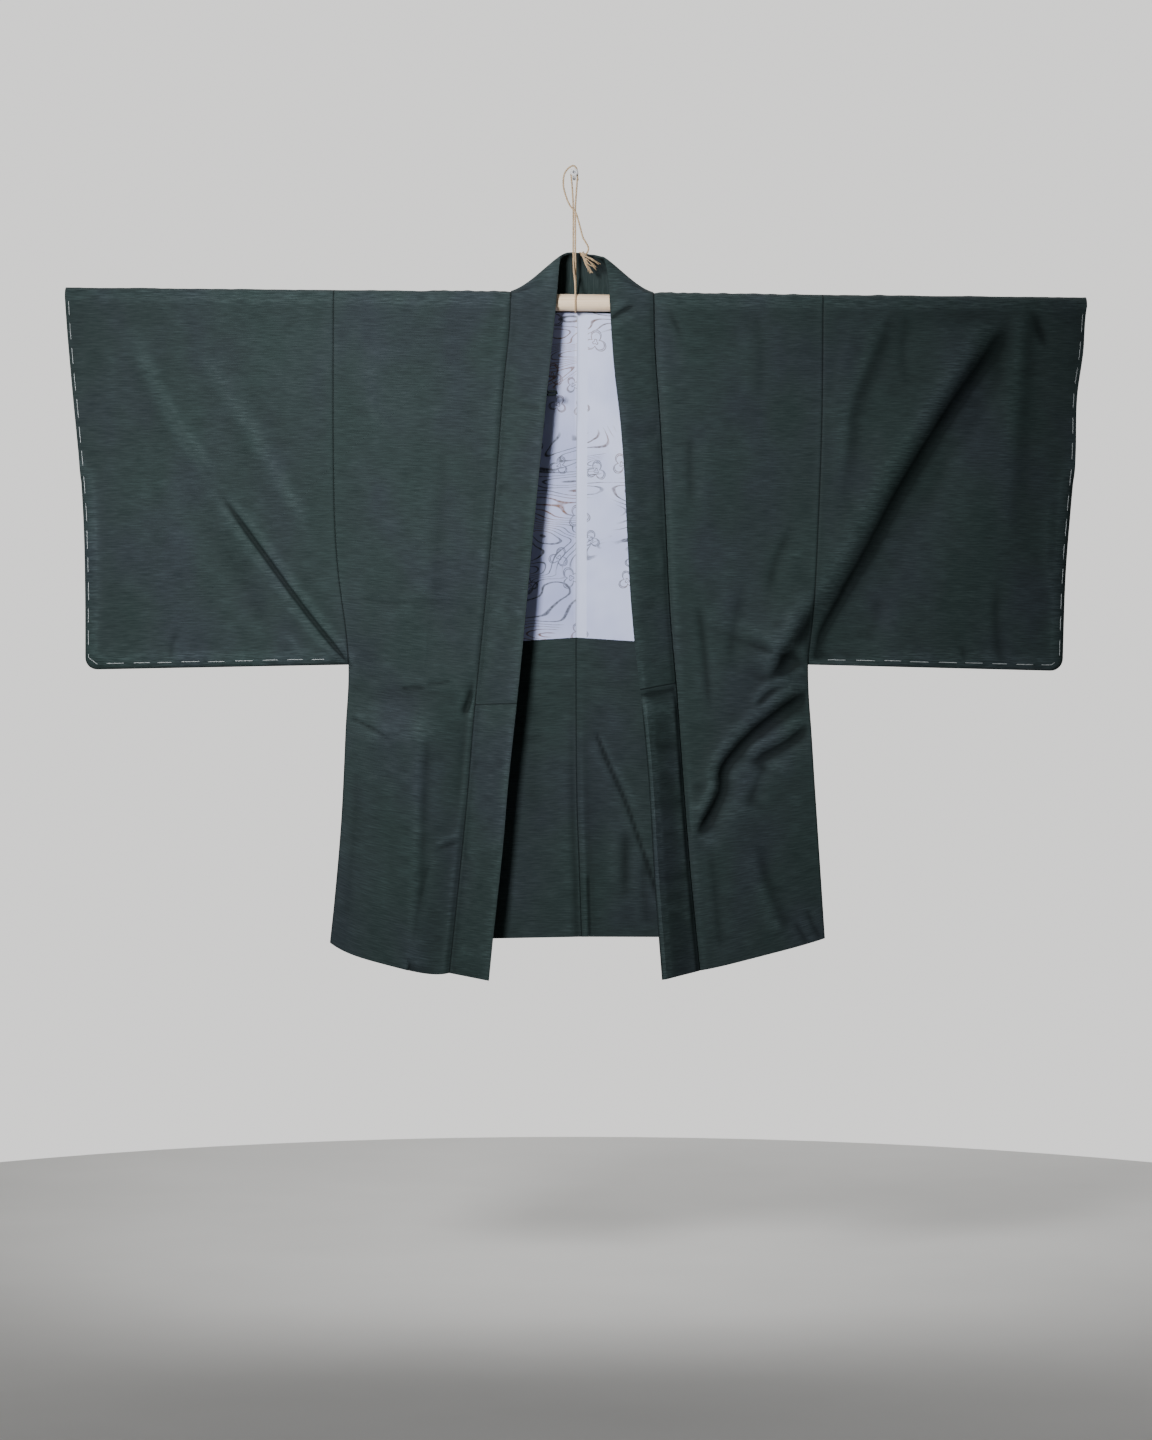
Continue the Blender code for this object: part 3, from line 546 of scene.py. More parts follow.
@dataclass(frozen=True)
class Sketch:
    """A material's nodes in the making, with a short way to write each common one."""

    tree: Tree

    def place(self, uv: bool = True) -> Output:
        """The cloth's own coordinates, or else the object's."""
        return add_node(self.tree, "UVMap", uv_map="cloth")[0] if uv else add_node(self.tree, "TexCoord")[3]

    def mark(self, name: str) -> Output:
        """A value that the mesh carries at each place."""
        return add_node(self.tree, "Attribute", attribute_name=name)[2]

    def stretched(self, place: Output, scale: tuple, **inputs: tuple) -> Output:
        """Coordinates at another scale along each axis."""
        return add_node(self.tree, "Mapping", {0: place, "Scale": scale, **inputs})[0]

    def noise(self, place: Output, scale: float, detail: float = 2.0, roughness: float = 0.5,
              distortion: float = 0.0) -> bpy.types.NodeOutputs:
        """A cloudy pattern: its value, then its colour."""
        return add_node(self.tree, "TexNoise", {
            "Vector": place, "Scale": scale, "Detail": detail, "Roughness": roughness,
            "Distortion": distortion})

    def maths(self, operation: str, *values: object) -> Output:
        """One step of arithmetic."""
        return add_node(self.tree, "Math", dict(enumerate(values)), operation=operation)[0]

    def vector(self, operation: str, inputs: dict) -> Output:
        """One step of arithmetic on coordinates; a length comes from the second output."""
        return add_node(self.tree, "VectorMath", inputs, operation=operation)[int(operation == "LENGTH")]

    def ranged(self, value: Output, low: float, high: float, start: float, end: float,
               **settings: str) -> Output:
        """A value carried from the range of low to high over to that of start to end."""
        return add_node(self.tree, "MapRange", {0: value, 1: low, 2: high, 3: start, 4: end}, **settings)[0]

    def blended(self, part: float, a: Output, b: Output) -> Output:
        """The value a part of the way from a to b."""
        return add_node(self.tree, "Mix", {"Factor": part, 2: a, 3: b}, data_type="FLOAT")[0]

    def tinted(self, part: object, a: object, b: object, **settings: str) -> Output:
        """The colour a part of the way from a to b."""
        return add_node(self.tree, "Mix", {"Factor": part, 6: a, 7: b}, data_type="RGBA", **settings)[2]

    def shaded(self, colour: Output, shade: Output) -> Output:
        """A colour darkened by a shade."""
        return self.tinted(1.0, colour, shade, blend_type="MULTIPLY")

    def ramp(self, value: Output, *stops: tuple[float, str]) -> Output:
        """A value turned into colours."""
        return add_node(self.tree, "ValToRGB", {0: value}, stops=stops)[0]

    def bump(self, strength: float, distance: float, height: Output) -> Output:
        """A fine relief in the surface."""
        return add_node(self.tree, "Bump", {
            "Strength": strength, "Distance": distance, "Height": height})[0]


class Finish:
    """The finish of a piece; each kind draws its own nodes."""

    def draw(self, sketch: Sketch) -> dict:
        """Draw the nodes and give what the main shader's inputs take."""
        raise NotImplementedError

    def make(self, name: str) -> Material:
        """Make the material under a name."""
        made = bpy.data.materials.new(name)
        made.use_nodes = True
        shader = made.node_tree.nodes["Principled BSDF"]
        feed(made.node_tree, shader, self.draw(Sketch(made.node_tree)))
        return made


@dataclass(frozen=True)
class SlubSilk(Finish):
    """Pongee silk, woven from uneven hand-spun yarn, piece-dyed a very dark green.

    Thick places in the weft give fine level streaks. Ridges are lightened by a painted sheen highlight.
    """

    dark: str = "#262D2F"
    middle: str = "#31393B"
    light: str = "#3D4649"
    streak_length: float = 21.0     # of a thick place in the yarn
    yarn: float = 1.7               # between yarns, drawn coarser than a real 0.5 mm, to show
    fine_length: float = 14.0       # of a thick place in the finer yarns between
    fine_yarn: float = 1.3
    cloud: float = 95.0             # slow changes in the dye
    roughness: float = 0.68

    def draw(self, sketch: Sketch) -> dict:
        """Draw the yarn, its dye, painted shade at seams and creases, and painted highlights on ridges."""
        cloth = sketch.place()
        yarn = sketch.stretched(cloth, (1000 / self.streak_length, 1000 / self.yarn, 1.0))
        finer = sketch.stretched(cloth, (1000 / self.fine_length, 1000 / self.fine_yarn, 1.0))
        streak, fine = sketch.noise(yarn, 1.0, 3.0, 0.62)[0], sketch.noise(finer, 1.0, 2.0, 0.6)[0]
        both = sketch.blended(0.35, streak, fine)
        level = sketch.blended(0.16, both, sketch.noise(cloth, 1000 / self.cloud, 3.0)[0])
        tone = sketch.ramp(level, (0.30, self.dark), (0.50, self.middle), (0.72, self.light))
        hue = sketch.noise(sketch.stretched(cloth, (11.0, 7.0, 1.0), Location=(3.0, 1.0, 0.0)), 1.0)[0]
        tint = sketch.ramp(hue, (0.36, "#E4F4EB"), (0.50, "#EEF8F3"), (0.66, "#F0F1F8"))
        # Painted shade: the colour darkens close to a seam, to 0.42 of itself within 0.3 mm of it.
        near_seam = sketch.ranged(
            sketch.mark("seam"), 0.3, 1.5, 0.42, 1.0, interpolation_type="SMOOTHSTEP")
        hollow = sketch.mark("hollow")
        # Painted shade: the colour darkens to half where the cloth lies in a crease's hollow.
        painted_crease_shade = sketch.ranged(hollow, -0.1, 0.8, 1.02, 0.5)
        # Painted sheen highlight: ridges are lightened by up to 45 %, in flecks where the yarn is thick.
        ridge = sketch.ranged(hollow, -0.08, -0.5, 0.0, 0.45)
        slub = sketch.ranged(both, 0.40, 0.64, 0.1, 1.0)
        painted_ridge_highlight = sketch.maths("MULTIPLY_ADD", ridge, slub, 1.0)
        # The shade factor carries the painted seam and crease shade and the painted ridge highlight
        # together.
        shade = sketch.maths("MULTIPLY", sketch.maths("MULTIPLY", near_seam, painted_crease_shade), painted_ridge_highlight)
        return {
            "Base Color": sketch.shaded(sketch.shaded(tone, tint), shade),
            "Roughness": sketch.ranged(both, 0.3, 0.7, self.roughness + 0.07, self.roughness - 0.07),
            "Normal": sketch.bump(0.16, 0.0006, both),
            "Specular IOR Level": 0.06}


@dataclass(frozen=True)
class PlainThread(Finish):
    """Cotton or silk thread in one colour, spun from fine strands that twist along it."""

    colour: str
    shade: str
    strand: float = 1.2         # a strand's width round the thread
    lean: float = 2.4           # how far round it goes for its length
    roughness: float = 0.8

    def draw(self, sketch: Sketch) -> dict:
        """Draw the strands and a slight mottle."""
        place = sketch.place()
        turned = sketch.stretched(
            place, (1000 / self.strand, 1000 / self.lean, 1.0), Rotation=(0.0, 0.0, 0.6))
        strands = add_node(sketch.tree, "TexWave", {
            "Vector": turned, "Scale": 0.5, "Distortion": 1.5, "Detail": 2.0, "Detail Scale": 2.0})[1]
        level = sketch.blended(0.5, strands, sketch.noise(place, 180.0, 3.0, 0.6)[0])
        return {
            "Base Color": sketch.ramp(level, (0.25, self.shade), (0.65, self.colour)),
            "Normal": sketch.bump(0.5, 0.0002, level),
            "Roughness": self.roughness,
            "Sheen Weight": 0.15}


@dataclass(frozen=True)
class PrintedLining(Finish):
    """Plain-weave silk lining, pale lavender grey, printed in thin grey and brown brush lines.

    The print is three-lobed leaves over drifting stream lines, with a bare band beside the seam.
    """

    ground: str = "#D2DBFF"
    wash: str = "#BFC8F2"
    plain: str = "#D0D9FC"          # the bare band
    grey_line: str = "#454A5C"
    brown_line: str = "#765341"
    line: float = 0.5               # half width of a printed line
    leaf: float = 34.0              # across a leaf
    spacing: float = 58.0           # between leaves
    bare_band: float = 14.0         # beside the seam

    def leaves(self, sketch: Sketch, place: Output) -> Output:
        """Draw the outlines of scattered leaves.

        Args:
            sketch: The material's nodes.
            place: The cloth's own coordinates, in metres.

        Returns:
            A value of 1 on a printed line.
        """
        cell = add_node(sketch.tree, "TexVoronoi", {
            "Vector": place, "Scale": 1000 / self.spacing, "Randomness": 0.85}, voronoi_dimensions="2D")
        local = sketch.vector("SUBTRACT", {0: place, 1: cell[2]})
        split = add_node(sketch.tree, "SeparateXYZ", {0: local})
        pick = add_node(sketch.tree, "SeparateColor", {0: cell[1]})
        angle = sketch.maths("ADD", sketch.maths("ARCTAN2", split[1], split[0]), pick[0])
        wave = sketch.maths("COSINE", sketch.maths("MULTIPLY", angle, 1.5))
        size = self.leaf / 2 * MM
        edge = sketch.ranged(sketch.maths("ABSOLUTE", wave), 0.0, 1.0, size * 0.34, size)
        outline = sketch.maths("MULTIPLY", edge, sketch.ranged(pick[2], 0.0, 1.0, 0.6, 1.05))
        far = sketch.vector("LENGTH", {0: local})
        drawn = None
        for part in (1.0, 0.86, 0.24):
            off = sketch.maths("SUBTRACT", far, sketch.maths("MULTIPLY", outline, part))
            ring = sketch.ranged(
                sketch.maths("ABSOLUTE", off), self.line * MM * 0.6, self.line * MM * 1.6, 1.0, 0.0)
            drawn = ring if drawn is None else sketch.maths("MAXIMUM", drawn, ring)
        return sketch.maths("MULTIPLY", drawn, sketch.maths("GREATER_THAN", pick[1], 0.22))

    def streams(self, sketch: Sketch, place: Output) -> Output:
        """Draw patches of drifting stream lines.

        Args:
            sketch: The material's nodes.
            place: The cloth's own coordinates, in metres.

        Returns:
            A value of 1 on a printed line.
        """
        leaned = sketch.stretched(place, (7.0, 19.0, 1.0), Rotation=(0.0, 0.0, 0.35))
        bands = sketch.maths("MULTIPLY", sketch.noise(leaned, 1.0, 1.0, distortion=0.5)[0], 24.0)
        off = sketch.maths("SUBTRACT", sketch.maths("FRACT", bands), 0.5)
        drawn = sketch.ranged(sketch.maths("ABSOLUTE", off), 0.06, 0.13, 1.0, 0.0)
        patch = sketch.noise(sketch.stretched(place, (8.0, 9.0, 1.0), Location=(0.37, 0.11, 0.0)), 1.0, 1.0)
        return sketch.maths("MULTIPLY", drawn, sketch.ranged(patch[0], 0.47, 0.51, 0.0, 1.0))

    def draw(self, sketch: Sketch) -> dict:
        """Draw the print on its washed ground, the bare band, the seam's shade and the weave."""
        cloth = sketch.place()
        drift = sketch.vector("SCALE", {0: sketch.noise(cloth, 90.0, 1.0)[1], 3: 0.0012})
        place = sketch.vector("ADD", {0: cloth, 1: drift})
        flat = sketch.vector("MULTIPLY", {0: place, 1: (1.0, 1.0, 0.0)})
        printed = sketch.maths("MAXIMUM", self.leaves(sketch, flat), self.streams(sketch, flat))
        near = sketch.mark("seam")
        kept = sketch.ranged(near, self.bare_band - 0.6, self.bare_band + 0.6, 0.0, 1.0)
        brush = sketch.ranged(sketch.noise(cloth, 260.0)[0], 0.35, 0.6, 0.65, 1.0)
        ink = sketch.maths("MULTIPLY", sketch.maths("MULTIPLY", printed, kept), brush)
        slow = sketch.noise(cloth, 11.0)[0]
        ground = sketch.ramp(slow, (0.38, self.wash), (0.62, self.ground))
        bare = sketch.tinted(kept, linear(self.plain), ground)
        tone = sketch.tinted(ink, bare, sketch.ramp(slow, (0.50, self.grey_line), (0.62, self.brown_line)))
        weave = sketch.noise(sketch.stretched(cloth, (420.0, 70.0, 1.0)), 1.0)[0]
        return {
            "Base Color": sketch.shaded(tone, sketch.ranged(near, 0.3, 1.2, 0.62, 1.0)),
            "Normal": sketch.bump(0.25, 0.0004, weave),
            "Roughness": 0.45,
            "Sheen Weight": 0.1}


@dataclass(frozen=True)
class PaleWood(Finish):
    """Pine dowel, turned and sanded, left bare: fine level grain with a few darker streaks."""

    light: str = "#FFE6C6"
    dark: str = "#E8C296"
    grain: float = 1.6              # between grain lines
    run: float = 120.0              # length of a grain line

    def draw(self, sketch: Sketch) -> dict:
        """Draw the grain and its broad streaks."""
        place = sketch.place(uv=False)
        along = sketch.stretched(place, (1000 / self.run, 1000 / self.grain, 1000 / self.grain))
        grain = sketch.noise(along, 1.0, 4.0, 0.6, 0.3)[0]
        broad = sketch.noise(sketch.stretched(place, (4.0, 90.0, 90.0)), 1.0)[0]
        level = sketch.blended(0.45, grain, broad)
        return {
            "Base Color": sketch.ramp(level, (0.36, self.dark), (0.54, self.light)),
            "Normal": sketch.bump(0.2, 0.0002, grain),
            "Roughness": 0.58}


@dataclass(frozen=True)
class GlossPaint(Finish):
    """Steel with a coat of brushed gloss paint, a little uneven, or bare zinc plate without it."""

    colour: str = "#F4F4F6"
    worn: str = "#DAD9D8"
    roughness: float = 0.38
    metallic: float = 0.0

    def draw(self, sketch: Sketch) -> dict:
        """Draw the uneven coat."""
        mottle = sketch.noise(sketch.place(uv=False), 480.0, 4.0, 0.6)[0]
        return {
            "Base Color": sketch.ramp(mottle, (0.34, self.worn), (0.50, self.colour)),
            "Normal": sketch.bump(0.3, 0.0002, mottle),
            "Roughness": self.roughness,
            "Metallic": self.metallic}


@dataclass(frozen=True)
class MattFloor(Finish):
    """Matt painted board, pale and plain."""

    colour: str = "#EDECE9"
    dull: str = "#E6E5E2"

    def draw(self, sketch: Sketch) -> dict:
        """Draw the slightly uneven paint."""
        mottle = sketch.noise(sketch.place(uv=False), 3.0, 3.0)[0]
        return {"Base Color": sketch.ramp(mottle, (0.3, self.dull), (0.7, self.colour)), "Roughness": 0.9}


# The jacket's own lines, as seen from the front

CUFF = {
    Side.LEFT: Line((
        (-150, -658.5), (-209, -654.5), (-281, -648.2), (-389, -638.3), (-462, -634.2), (-534, -632.6),
        (-642, -632.2))),
    Side.RIGHT: Line((
        (-162, 665.5), (-177, 661.5), (-235, 656.9), (-290, 649.4), (-375, 647.2), (-428, 642.6),
        (-517, 635.6), (-644, 631.2)))}
SIDE_SEAM = {
    Side.LEFT: Line((
        (-152, -311.0), (-389, -311.0), (-462, -309.2), (-513, -305.5), (-632, -292.0), (-723, -295.4),
        (-842, -301.3), (-945, -310.2), (-996, -315.7))),
    Side.RIGHT: Line((
        (-161, 321.2), (-326, 319.5), (-467, 314.1), (-587, 307.0), (-633, 302.5), (-736, 307.5),
        (-864, 315.7), (-990.5, 324.0)))}
LAPEL_SEAM = {
    Side.LEFT: Line((
        (-156, -82.0), (-197, -83.4), (-285, -92.0), (-425, -102.8), (-569, -116.1), (-682, -127.5),
        (-812, -138.4), (-931, -150.3), (-1035, -161.3))),
    Side.RIGHT: Line((
        (-161, 102.4), (-223, 103.7), (-321, 110.3), (-424, 116.2), (-572, 123.5), (-683, 132.9),
        (-767, 138.9), (-892, 148.5), (-1032, 161.9)))}
LAPEL_FREE = {
    Side.LEFT: Line((
        (-152, -21.6), (-178, -24.0), (-321, -38.4), (-502, -56.0), (-599, -65.0), (-690, -74.2),
        (-791, -85.0), (-865, -91.1), (-975, -102.9), (-1044, -109.8))),
    Side.RIGHT: Line((
        (-157, 45.3), (-197, 47.1), (-254, 51.2), (-325, 59.2), (-398, 64.6), (-462, 67.6),
        (-544, 71.9), (-598, 76.4), (-670, 84.4), (-782, 95.1), (-917, 103.1), (-1042, 112.5)))}
CENTRE_SEAM = Line(((-177, 4.0), (-600, 2.2), (-823, 3.7), (-892, 6.3), (-990, 9.4)))

# How deep each line hangs: the wall is at zero and the viewer below it
CUFF_DEPTH = {
    Layer.FRONT: Line(((-168, -38.3), (-300, -37.4), (-640, -33.0), (-1000, -33.0))),
    Layer.BACK: Line(((-168, -13.7), (-300, -14.6), (-640, -19.0), (-1000, -19.0)))}
SIDE_DEPTH = {
    Layer.FRONT: Line(((-168, -38.3), (-300, -37.4), (-640, -33.0), (-1000, -31.0))),
    Layer.BACK: Line(((-168, -13.7), (-300, -14.6), (-640, -19.0), (-1000, -17.0)))}
LAPEL_SEAM_DEPTH = Line(((-168, -39.2), (-300, -40.0), (-640, -39.0), (-1000, -37.0)))
LAPEL_FREE_DEPTH = {
    Side.LEFT: Line(((-168, -43.0), (-300, -48.5), (-640, -52.0), (-1000, -51.0))),
    Side.RIGHT: Line(((-168, -43.0), (-300, -50.0), (-640, -56.0), (-1000, -56.0)))}
CENTRE_DEPTH = Line(((-168, -11.0), (-300, -10.0), (-640, -10.5), (-1000, -12.0)))

TUCK = Shape.TUCK

# Creases of the jacket's left front, sleeve and body in one, because folds cross the armhole seam
LEFT_CREASES = (
    Crease(((-290, -638), (-348, -566), (-406, -487), (-462, -410)),
           -5.0, 4.8, 4.2, power=1.5, spread=(0.8, 1.0), fade=(0.05, 0.3)),
    Crease(((-290, -638), (-348, -566), (-406, -487), (-474, -396)),
           2.6, 20, 15, power=1.5, spread=(0.8, 1.2), fade=(0.04, 0.3)),
    Crease(((-576, -190), (-548, -258), (-520, -314), (-490, -360), (-455, -412)),
           2.9, 18, 15, power=1.8, spread=(1.2, 0.9), fade=(0.3, 0.3)),
    Crease(((-546, -270), (-516, -322), (-486, -368), (-458, -412)),
           -0.5, 4.5, 4.5, fade=(0.3, 0.3)),
    Crease(((-492, -206), (-452, -276), (-414, -338), (-380, -396), (-330, -484)),
           2.8, 21, 17, power=1.8, spread=(1.2, 0.8), fade=(0.3, 0.3)),
    Crease(((-507, -397), (-481, -449), (-443, -501), (-407, -566), (-377, -605)),
           -1.7, 24, 18, power=1.8, spread=(1.2, 0.8), fade=(0.35, 0.3)),
    Crease(((-352, -634), (-362, -610), (-378, -585)), 0.8, 9, 7, fade=(0.2, 0.6)),
    Crease(((-524, -636), (-518, -606), (-508, -584)), -0.8, 6, 4.5, power=1.3, fade=(0.1, 0.5)),
    Crease(((-600, -205), (-596, -262), (-606, -320)), 0.5, 16, 12),
    Crease(((-575, -520), (-555, -455), (-560, -380)), 0.5, 22, 17),
    Crease(((-224, -667), (-208, -666), (-190, -668)), -1.0, 1.8, 2.2, power=1.3, fade=(0.2, 0.3)),
    Crease(((-192, -662), (-176, -661), (-158, -658)), -0.8, 1.8, 2.2, power=1.3, fade=(0.2, 0.3)),
    Crease(((-300, -548), (-240, -556), (-150, -552)), -0.4, 2.6, 4.5, power=1.4, fade=(0.3, 0.3)),
    Crease(((-187, -716), (-192, -800), (-195, -900), (-199, -990)),
           -2.2, 12, 10, power=1.7, fade=(0.2, 0.4)),
    Crease(((-171, -866), (-190, -917), (-202, -970), (-207, -1020)),
           0.7, 9, 8, power=1.5, fade=(0.2, 0.2)),
    Crease(((-181, -880), (-196, -930), (-210, -1014)), -1.1, 8, 6, power=1.5, fade=(0.3, 0.3)),
    Crease(((-117, -660), (-130, -676), (-144, -704)),
           -5.0, 6.0, 8.0, power=1.5, spread=(1.4, 0.6), fade=(0.02, 0.4)),
    Crease(((-196, -672), (-200, -723), (-204, -800), (-206, -867), (-214, -1010)),
           12.5, 34, 90, power=1.7, fade=(0.2, 0.0)),
    Crease(((-138, -686), (-146, -770), (-152, -860)), -1.8, 9, 14, fade=(0.1, 0.5)),
    Crease(((-181, -870), (-166, -862), (-145, -857)), 0.9, 5, 6, power=1.4, fade=(0.3, 0.15)),
    Crease(((-181, -877), (-166, -871), (-146, -865)), -0.8, 2.6, 2.4, power=1.2, fade=(0.3, 0.15)),
    Crease(((-289, -704), (-264, -717), (-236, -734)), -1.2, 1.9, 2.2, power=1.2, fade=(0.1, 0.3)),
    Crease(((-167, -330), (-171, -420), (-176, -520), (-182, -600)),
           -1.4, 17, 14, power=1.9, fade=(0.4, 0.4)),
    Crease(((-150, -450), (-190, -530), (-262, -606)), 1.0, 26, 20, power=1.8, fade=(0.4, 0.3)),
    Crease(((-232, -748), (-240, -860), (-250, -980)), 1.0, 22, 17, fade=(0.3, 0.2)),
    Crease(((-280, -760), (-284, -860), (-296, -980)), -1.1, 14, 10, fade=(0.3, 0.2)),
    Crease(((-250, -200), (-262, -280), (-250, -380)), 0.9, 20, 17),
    Crease(((-302, -640), (-308, -668), (-306, -700)), 1.1, 6, 8),
)

# Creases of the right front, sleeve and body in one
RIGHT_CREASES = (
    Crease(((562, -176), (519, -250), (473, -319), (420, -405), (374, -491), (337, -551), (299, -640)),
           -17.5, 60, 62, TUCK, steep=21, power=1.35, spread=(0.7, 1.1), fade=(0.2, 0.06)),
    Crease(((540, -214), (473, -321), (420, -408), (374, -494), (308, -626)),
           -1.5, 7, 6, power=1.5, fade=(0.2, 0.1)),
    Crease(((412, -160), (389, -228), (359, -303), (352, -358), (340, -439)),
           -2.8, 27, 24, TUCK, steep=12, power=1.4, fade=(0.08, 0.4)),
    Crease(((365, -165), (354, -210), (338, -280), (327, -360)), 0.7, 16, 14, fade=(0.15, 0.4)),
    Crease(((583, -178), (582, -210), (577, -286), (570, -370), (564, -455), (551, -504)),
           -2.4, 44, 38, TUCK, steep=17, spread=(0.6, 1.1), fade=(0.08, 0.3)),
    Crease(((588, -166), (598, -196), (613, -236)), -2.0, 10, 8, power=1.5, fade=(0.06, 0.4)),
    Crease(((395, -540), (388, -575), (378, -610)), -1.0, 12, 11, fade=(0.35, 0.25)),
    Crease(((346, -606), (348, -622), (352, -644)), -1.1, 5, 5, power=1.4, fade=(0.4, 0.05)),
    Crease(((430, -600), (436, -644)), 0.5, 11, 8, fade=(0.6, 0.05)),
    Crease(((500, -606), (506, -645)), -0.9, 6, 5, fade=(0.6, 0.05)),
    Crease(((548, -520), (545, -580), (552, -640)), -1.2, 12, 8, fade=(0.4, 0.1)),
    Crease(((620, -560), (610, -480), (616, -400)), 1.2, 14, 10),
    Crease(((470, -330), (500, -400), (505, -500)), 1.1, 30, 26, fade=(0.3, 0.4)),
    Crease(((430, -180), (424, -230), (430, -300)), -0.9, 12, 9, fade=(0.15, 0.5)),
    Crease(((318, -532), (309, -556), (294, -586), (267, -630), (248, -660)),
           -12.5, 32, 27, TUCK, steep=13.5, power=1.5, spread=(1.0, 0.9), fade=(0.45, 0.25)),
    Crease(((300, -642), (278, -650), (254, -655)), 1.1, 8, 6, power=1.4, fade=(0.15, 0.3)),
    Crease(((280, -662), (255, -667), (229, -692)), -2.6, 9, 8, TUCK, steep=5, fade=(0.1, 0.3)),
    Crease(((306, -663), (273, -686), (238, -713), (209, -741), (188, -771), (184, -803), (156, -856)),
           -10.0, 23, 25, TUCK, steep=9.5, power=1.3, spread=(1.0, 0.7), fade=(0.15, 0.12)),
    Crease(((304, -704), (278, -730), (243, -750), (221, -763)),
           -5.5, 15, 16, TUCK, steep=7.5, fade=(0.3, 0.3)),
    Crease(((250, -762), (236, -790), (222, -830)), -2.6, 17, 13, power=1.4, fade=(0.2, 0.35)),
    Crease(((296, -742), (262, -772), (222, -800), (196, -850)), 1.2, 18, 17, fade=(0.2, 0.3)),
    Crease(((288, -445), (262, -500), (246, -560)), -1.3, 12, 9, fade=(0.35, 0.35)),
    Crease(((312, -430), (288, -500), (262, -566), (236, -628)), 1.0, 20, 17, fade=(0.3, 0.3)),
    Crease(((222, -520), (206, -590), (200, -650)), -1.3, 14, 10, fade=(0.4, 0.4)),
    Crease(((150, -338), (149, -380), (151, -436)), -1.0, 10, 8, power=1.5, fade=(0.25, 0.3)),
    Crease(((170, -330), (166, -400), (170, -470)), 0.4, 14, 12),
    Crease(((158, -540), (168, -620), (176, -705)), -1.5, 7, 8, fade=(0.4, 0.3)),
    Crease(((200, -470), (192, -560), (188, -640)), 0.6, 17, 14, fade=(0.4, 0.3)),
    Crease(((176, -862), (182, -930), (190, -1010)), -1.3, 12, 8, fade=(0.3, 0.2)),
    Crease(((232, -859), (244, -915), (272, -985)), -2.2, 20, 24, TUCK, steep=9, fade=(0.3, 0.15)),
    Crease(((284, -968), (296, -988), (304, -1000)), -1.0, 5, 5.6, power=1.4, fade=(0.3, 0.05)),
    Crease(((300, -950), (308, -972), (318, -990)), -0.9, 5, 5, power=1.4, fade=(0.3, 0.05)),
    Crease(((121, -174), (130, -196), (142, -222)), -1.1, 6, 5, fade=(0.1, 0.6)),
    Crease(((232, -176), (240, -230), (236, -320)), -0.9, 15, 12, fade=(0.1, 0.5)),
)

# Creases of the back, whose middle shows between the lapels
BACK_CREASES = (
    Crease(((27, -722), (43, -762), (67, -816), (79, -850), (99, -908), (111, -948)),
           -1.6, 2.2, 2.2, power=1.2, fade=(0.1, 0.15)),
    Crease(((31, -722), (50, -762), (73, -804), (84, -830)), 0.4, 4, 4, power=1.4, fade=(0.15, 0.3)),
    Crease(((14, -738), (34, -766), (50, -806)), 0.3, 6, 5, fade=(0.2, 0.5)),
    Crease(((68, -842), (66, -890), (67, -948)), -1.2, 9, 8, fade=(0.3, 0.3)),
    Crease(((92, -880), (90, -925), (96, -980)), -0.8, 8, 7, fade=(0.3, 0.2)),
    Crease(((-60, -640), (-52, -720), (-58, -850)), -0.8, 20, 15, fade=(0.3, 0.3)),
    Crease(((-270, -620), (-200, -760), (-170, -960)), -2.6, 28, 20),
    Crease(((-92, -640), (-96, -800), (-74, -970)), 1.8, 24, 17),
    Crease(((-298, -640), (-262, -690), (-206, -742)), -2.6, 8, 12, TUCK, steep=4.6),
    Crease(((-240, -230), (-262, -360), (-300, -520)), 2.2, 22, 15),
    Crease(((-140, -230), (-150, -400), (-132, -560)), -1.8, 20, 25),
    Crease(((270, -620), (220, -760), (190, -960)), -2.6, 26, 19),
    Crease(((300, -640), (252, -706), (216, -800)), 2.6, 8, 11, power=1.3),
    Crease(((255, -220), (276, -380), (306, -560)), -2.0, 24, 17),
    Crease(((150, -240), (172, -420), (150, -600)), 2.1, 22, 27),
    Crease(((320, -615), (400, -450), (560, -250)), -3.2, 38, 44, TUCK, steep=6.5),
    Crease(((430, -560), (440, -380), (476, -230)), 2.2, 24, 17),
    Crease(((560, -600), (552, -480), (570, -330)), -1.6, 16, 20),
    Crease(((-306, -618), (-396, -482), (-566, -270)), -3.0, 11, 15, power=1.3),
    Crease(((-360, -220), (-402, -352), (-424, -500)), 2.4, 22, 26),
    Crease(((-540, -200), (-548, -330), (-520, -470)), -1.5, 18, 14),
)

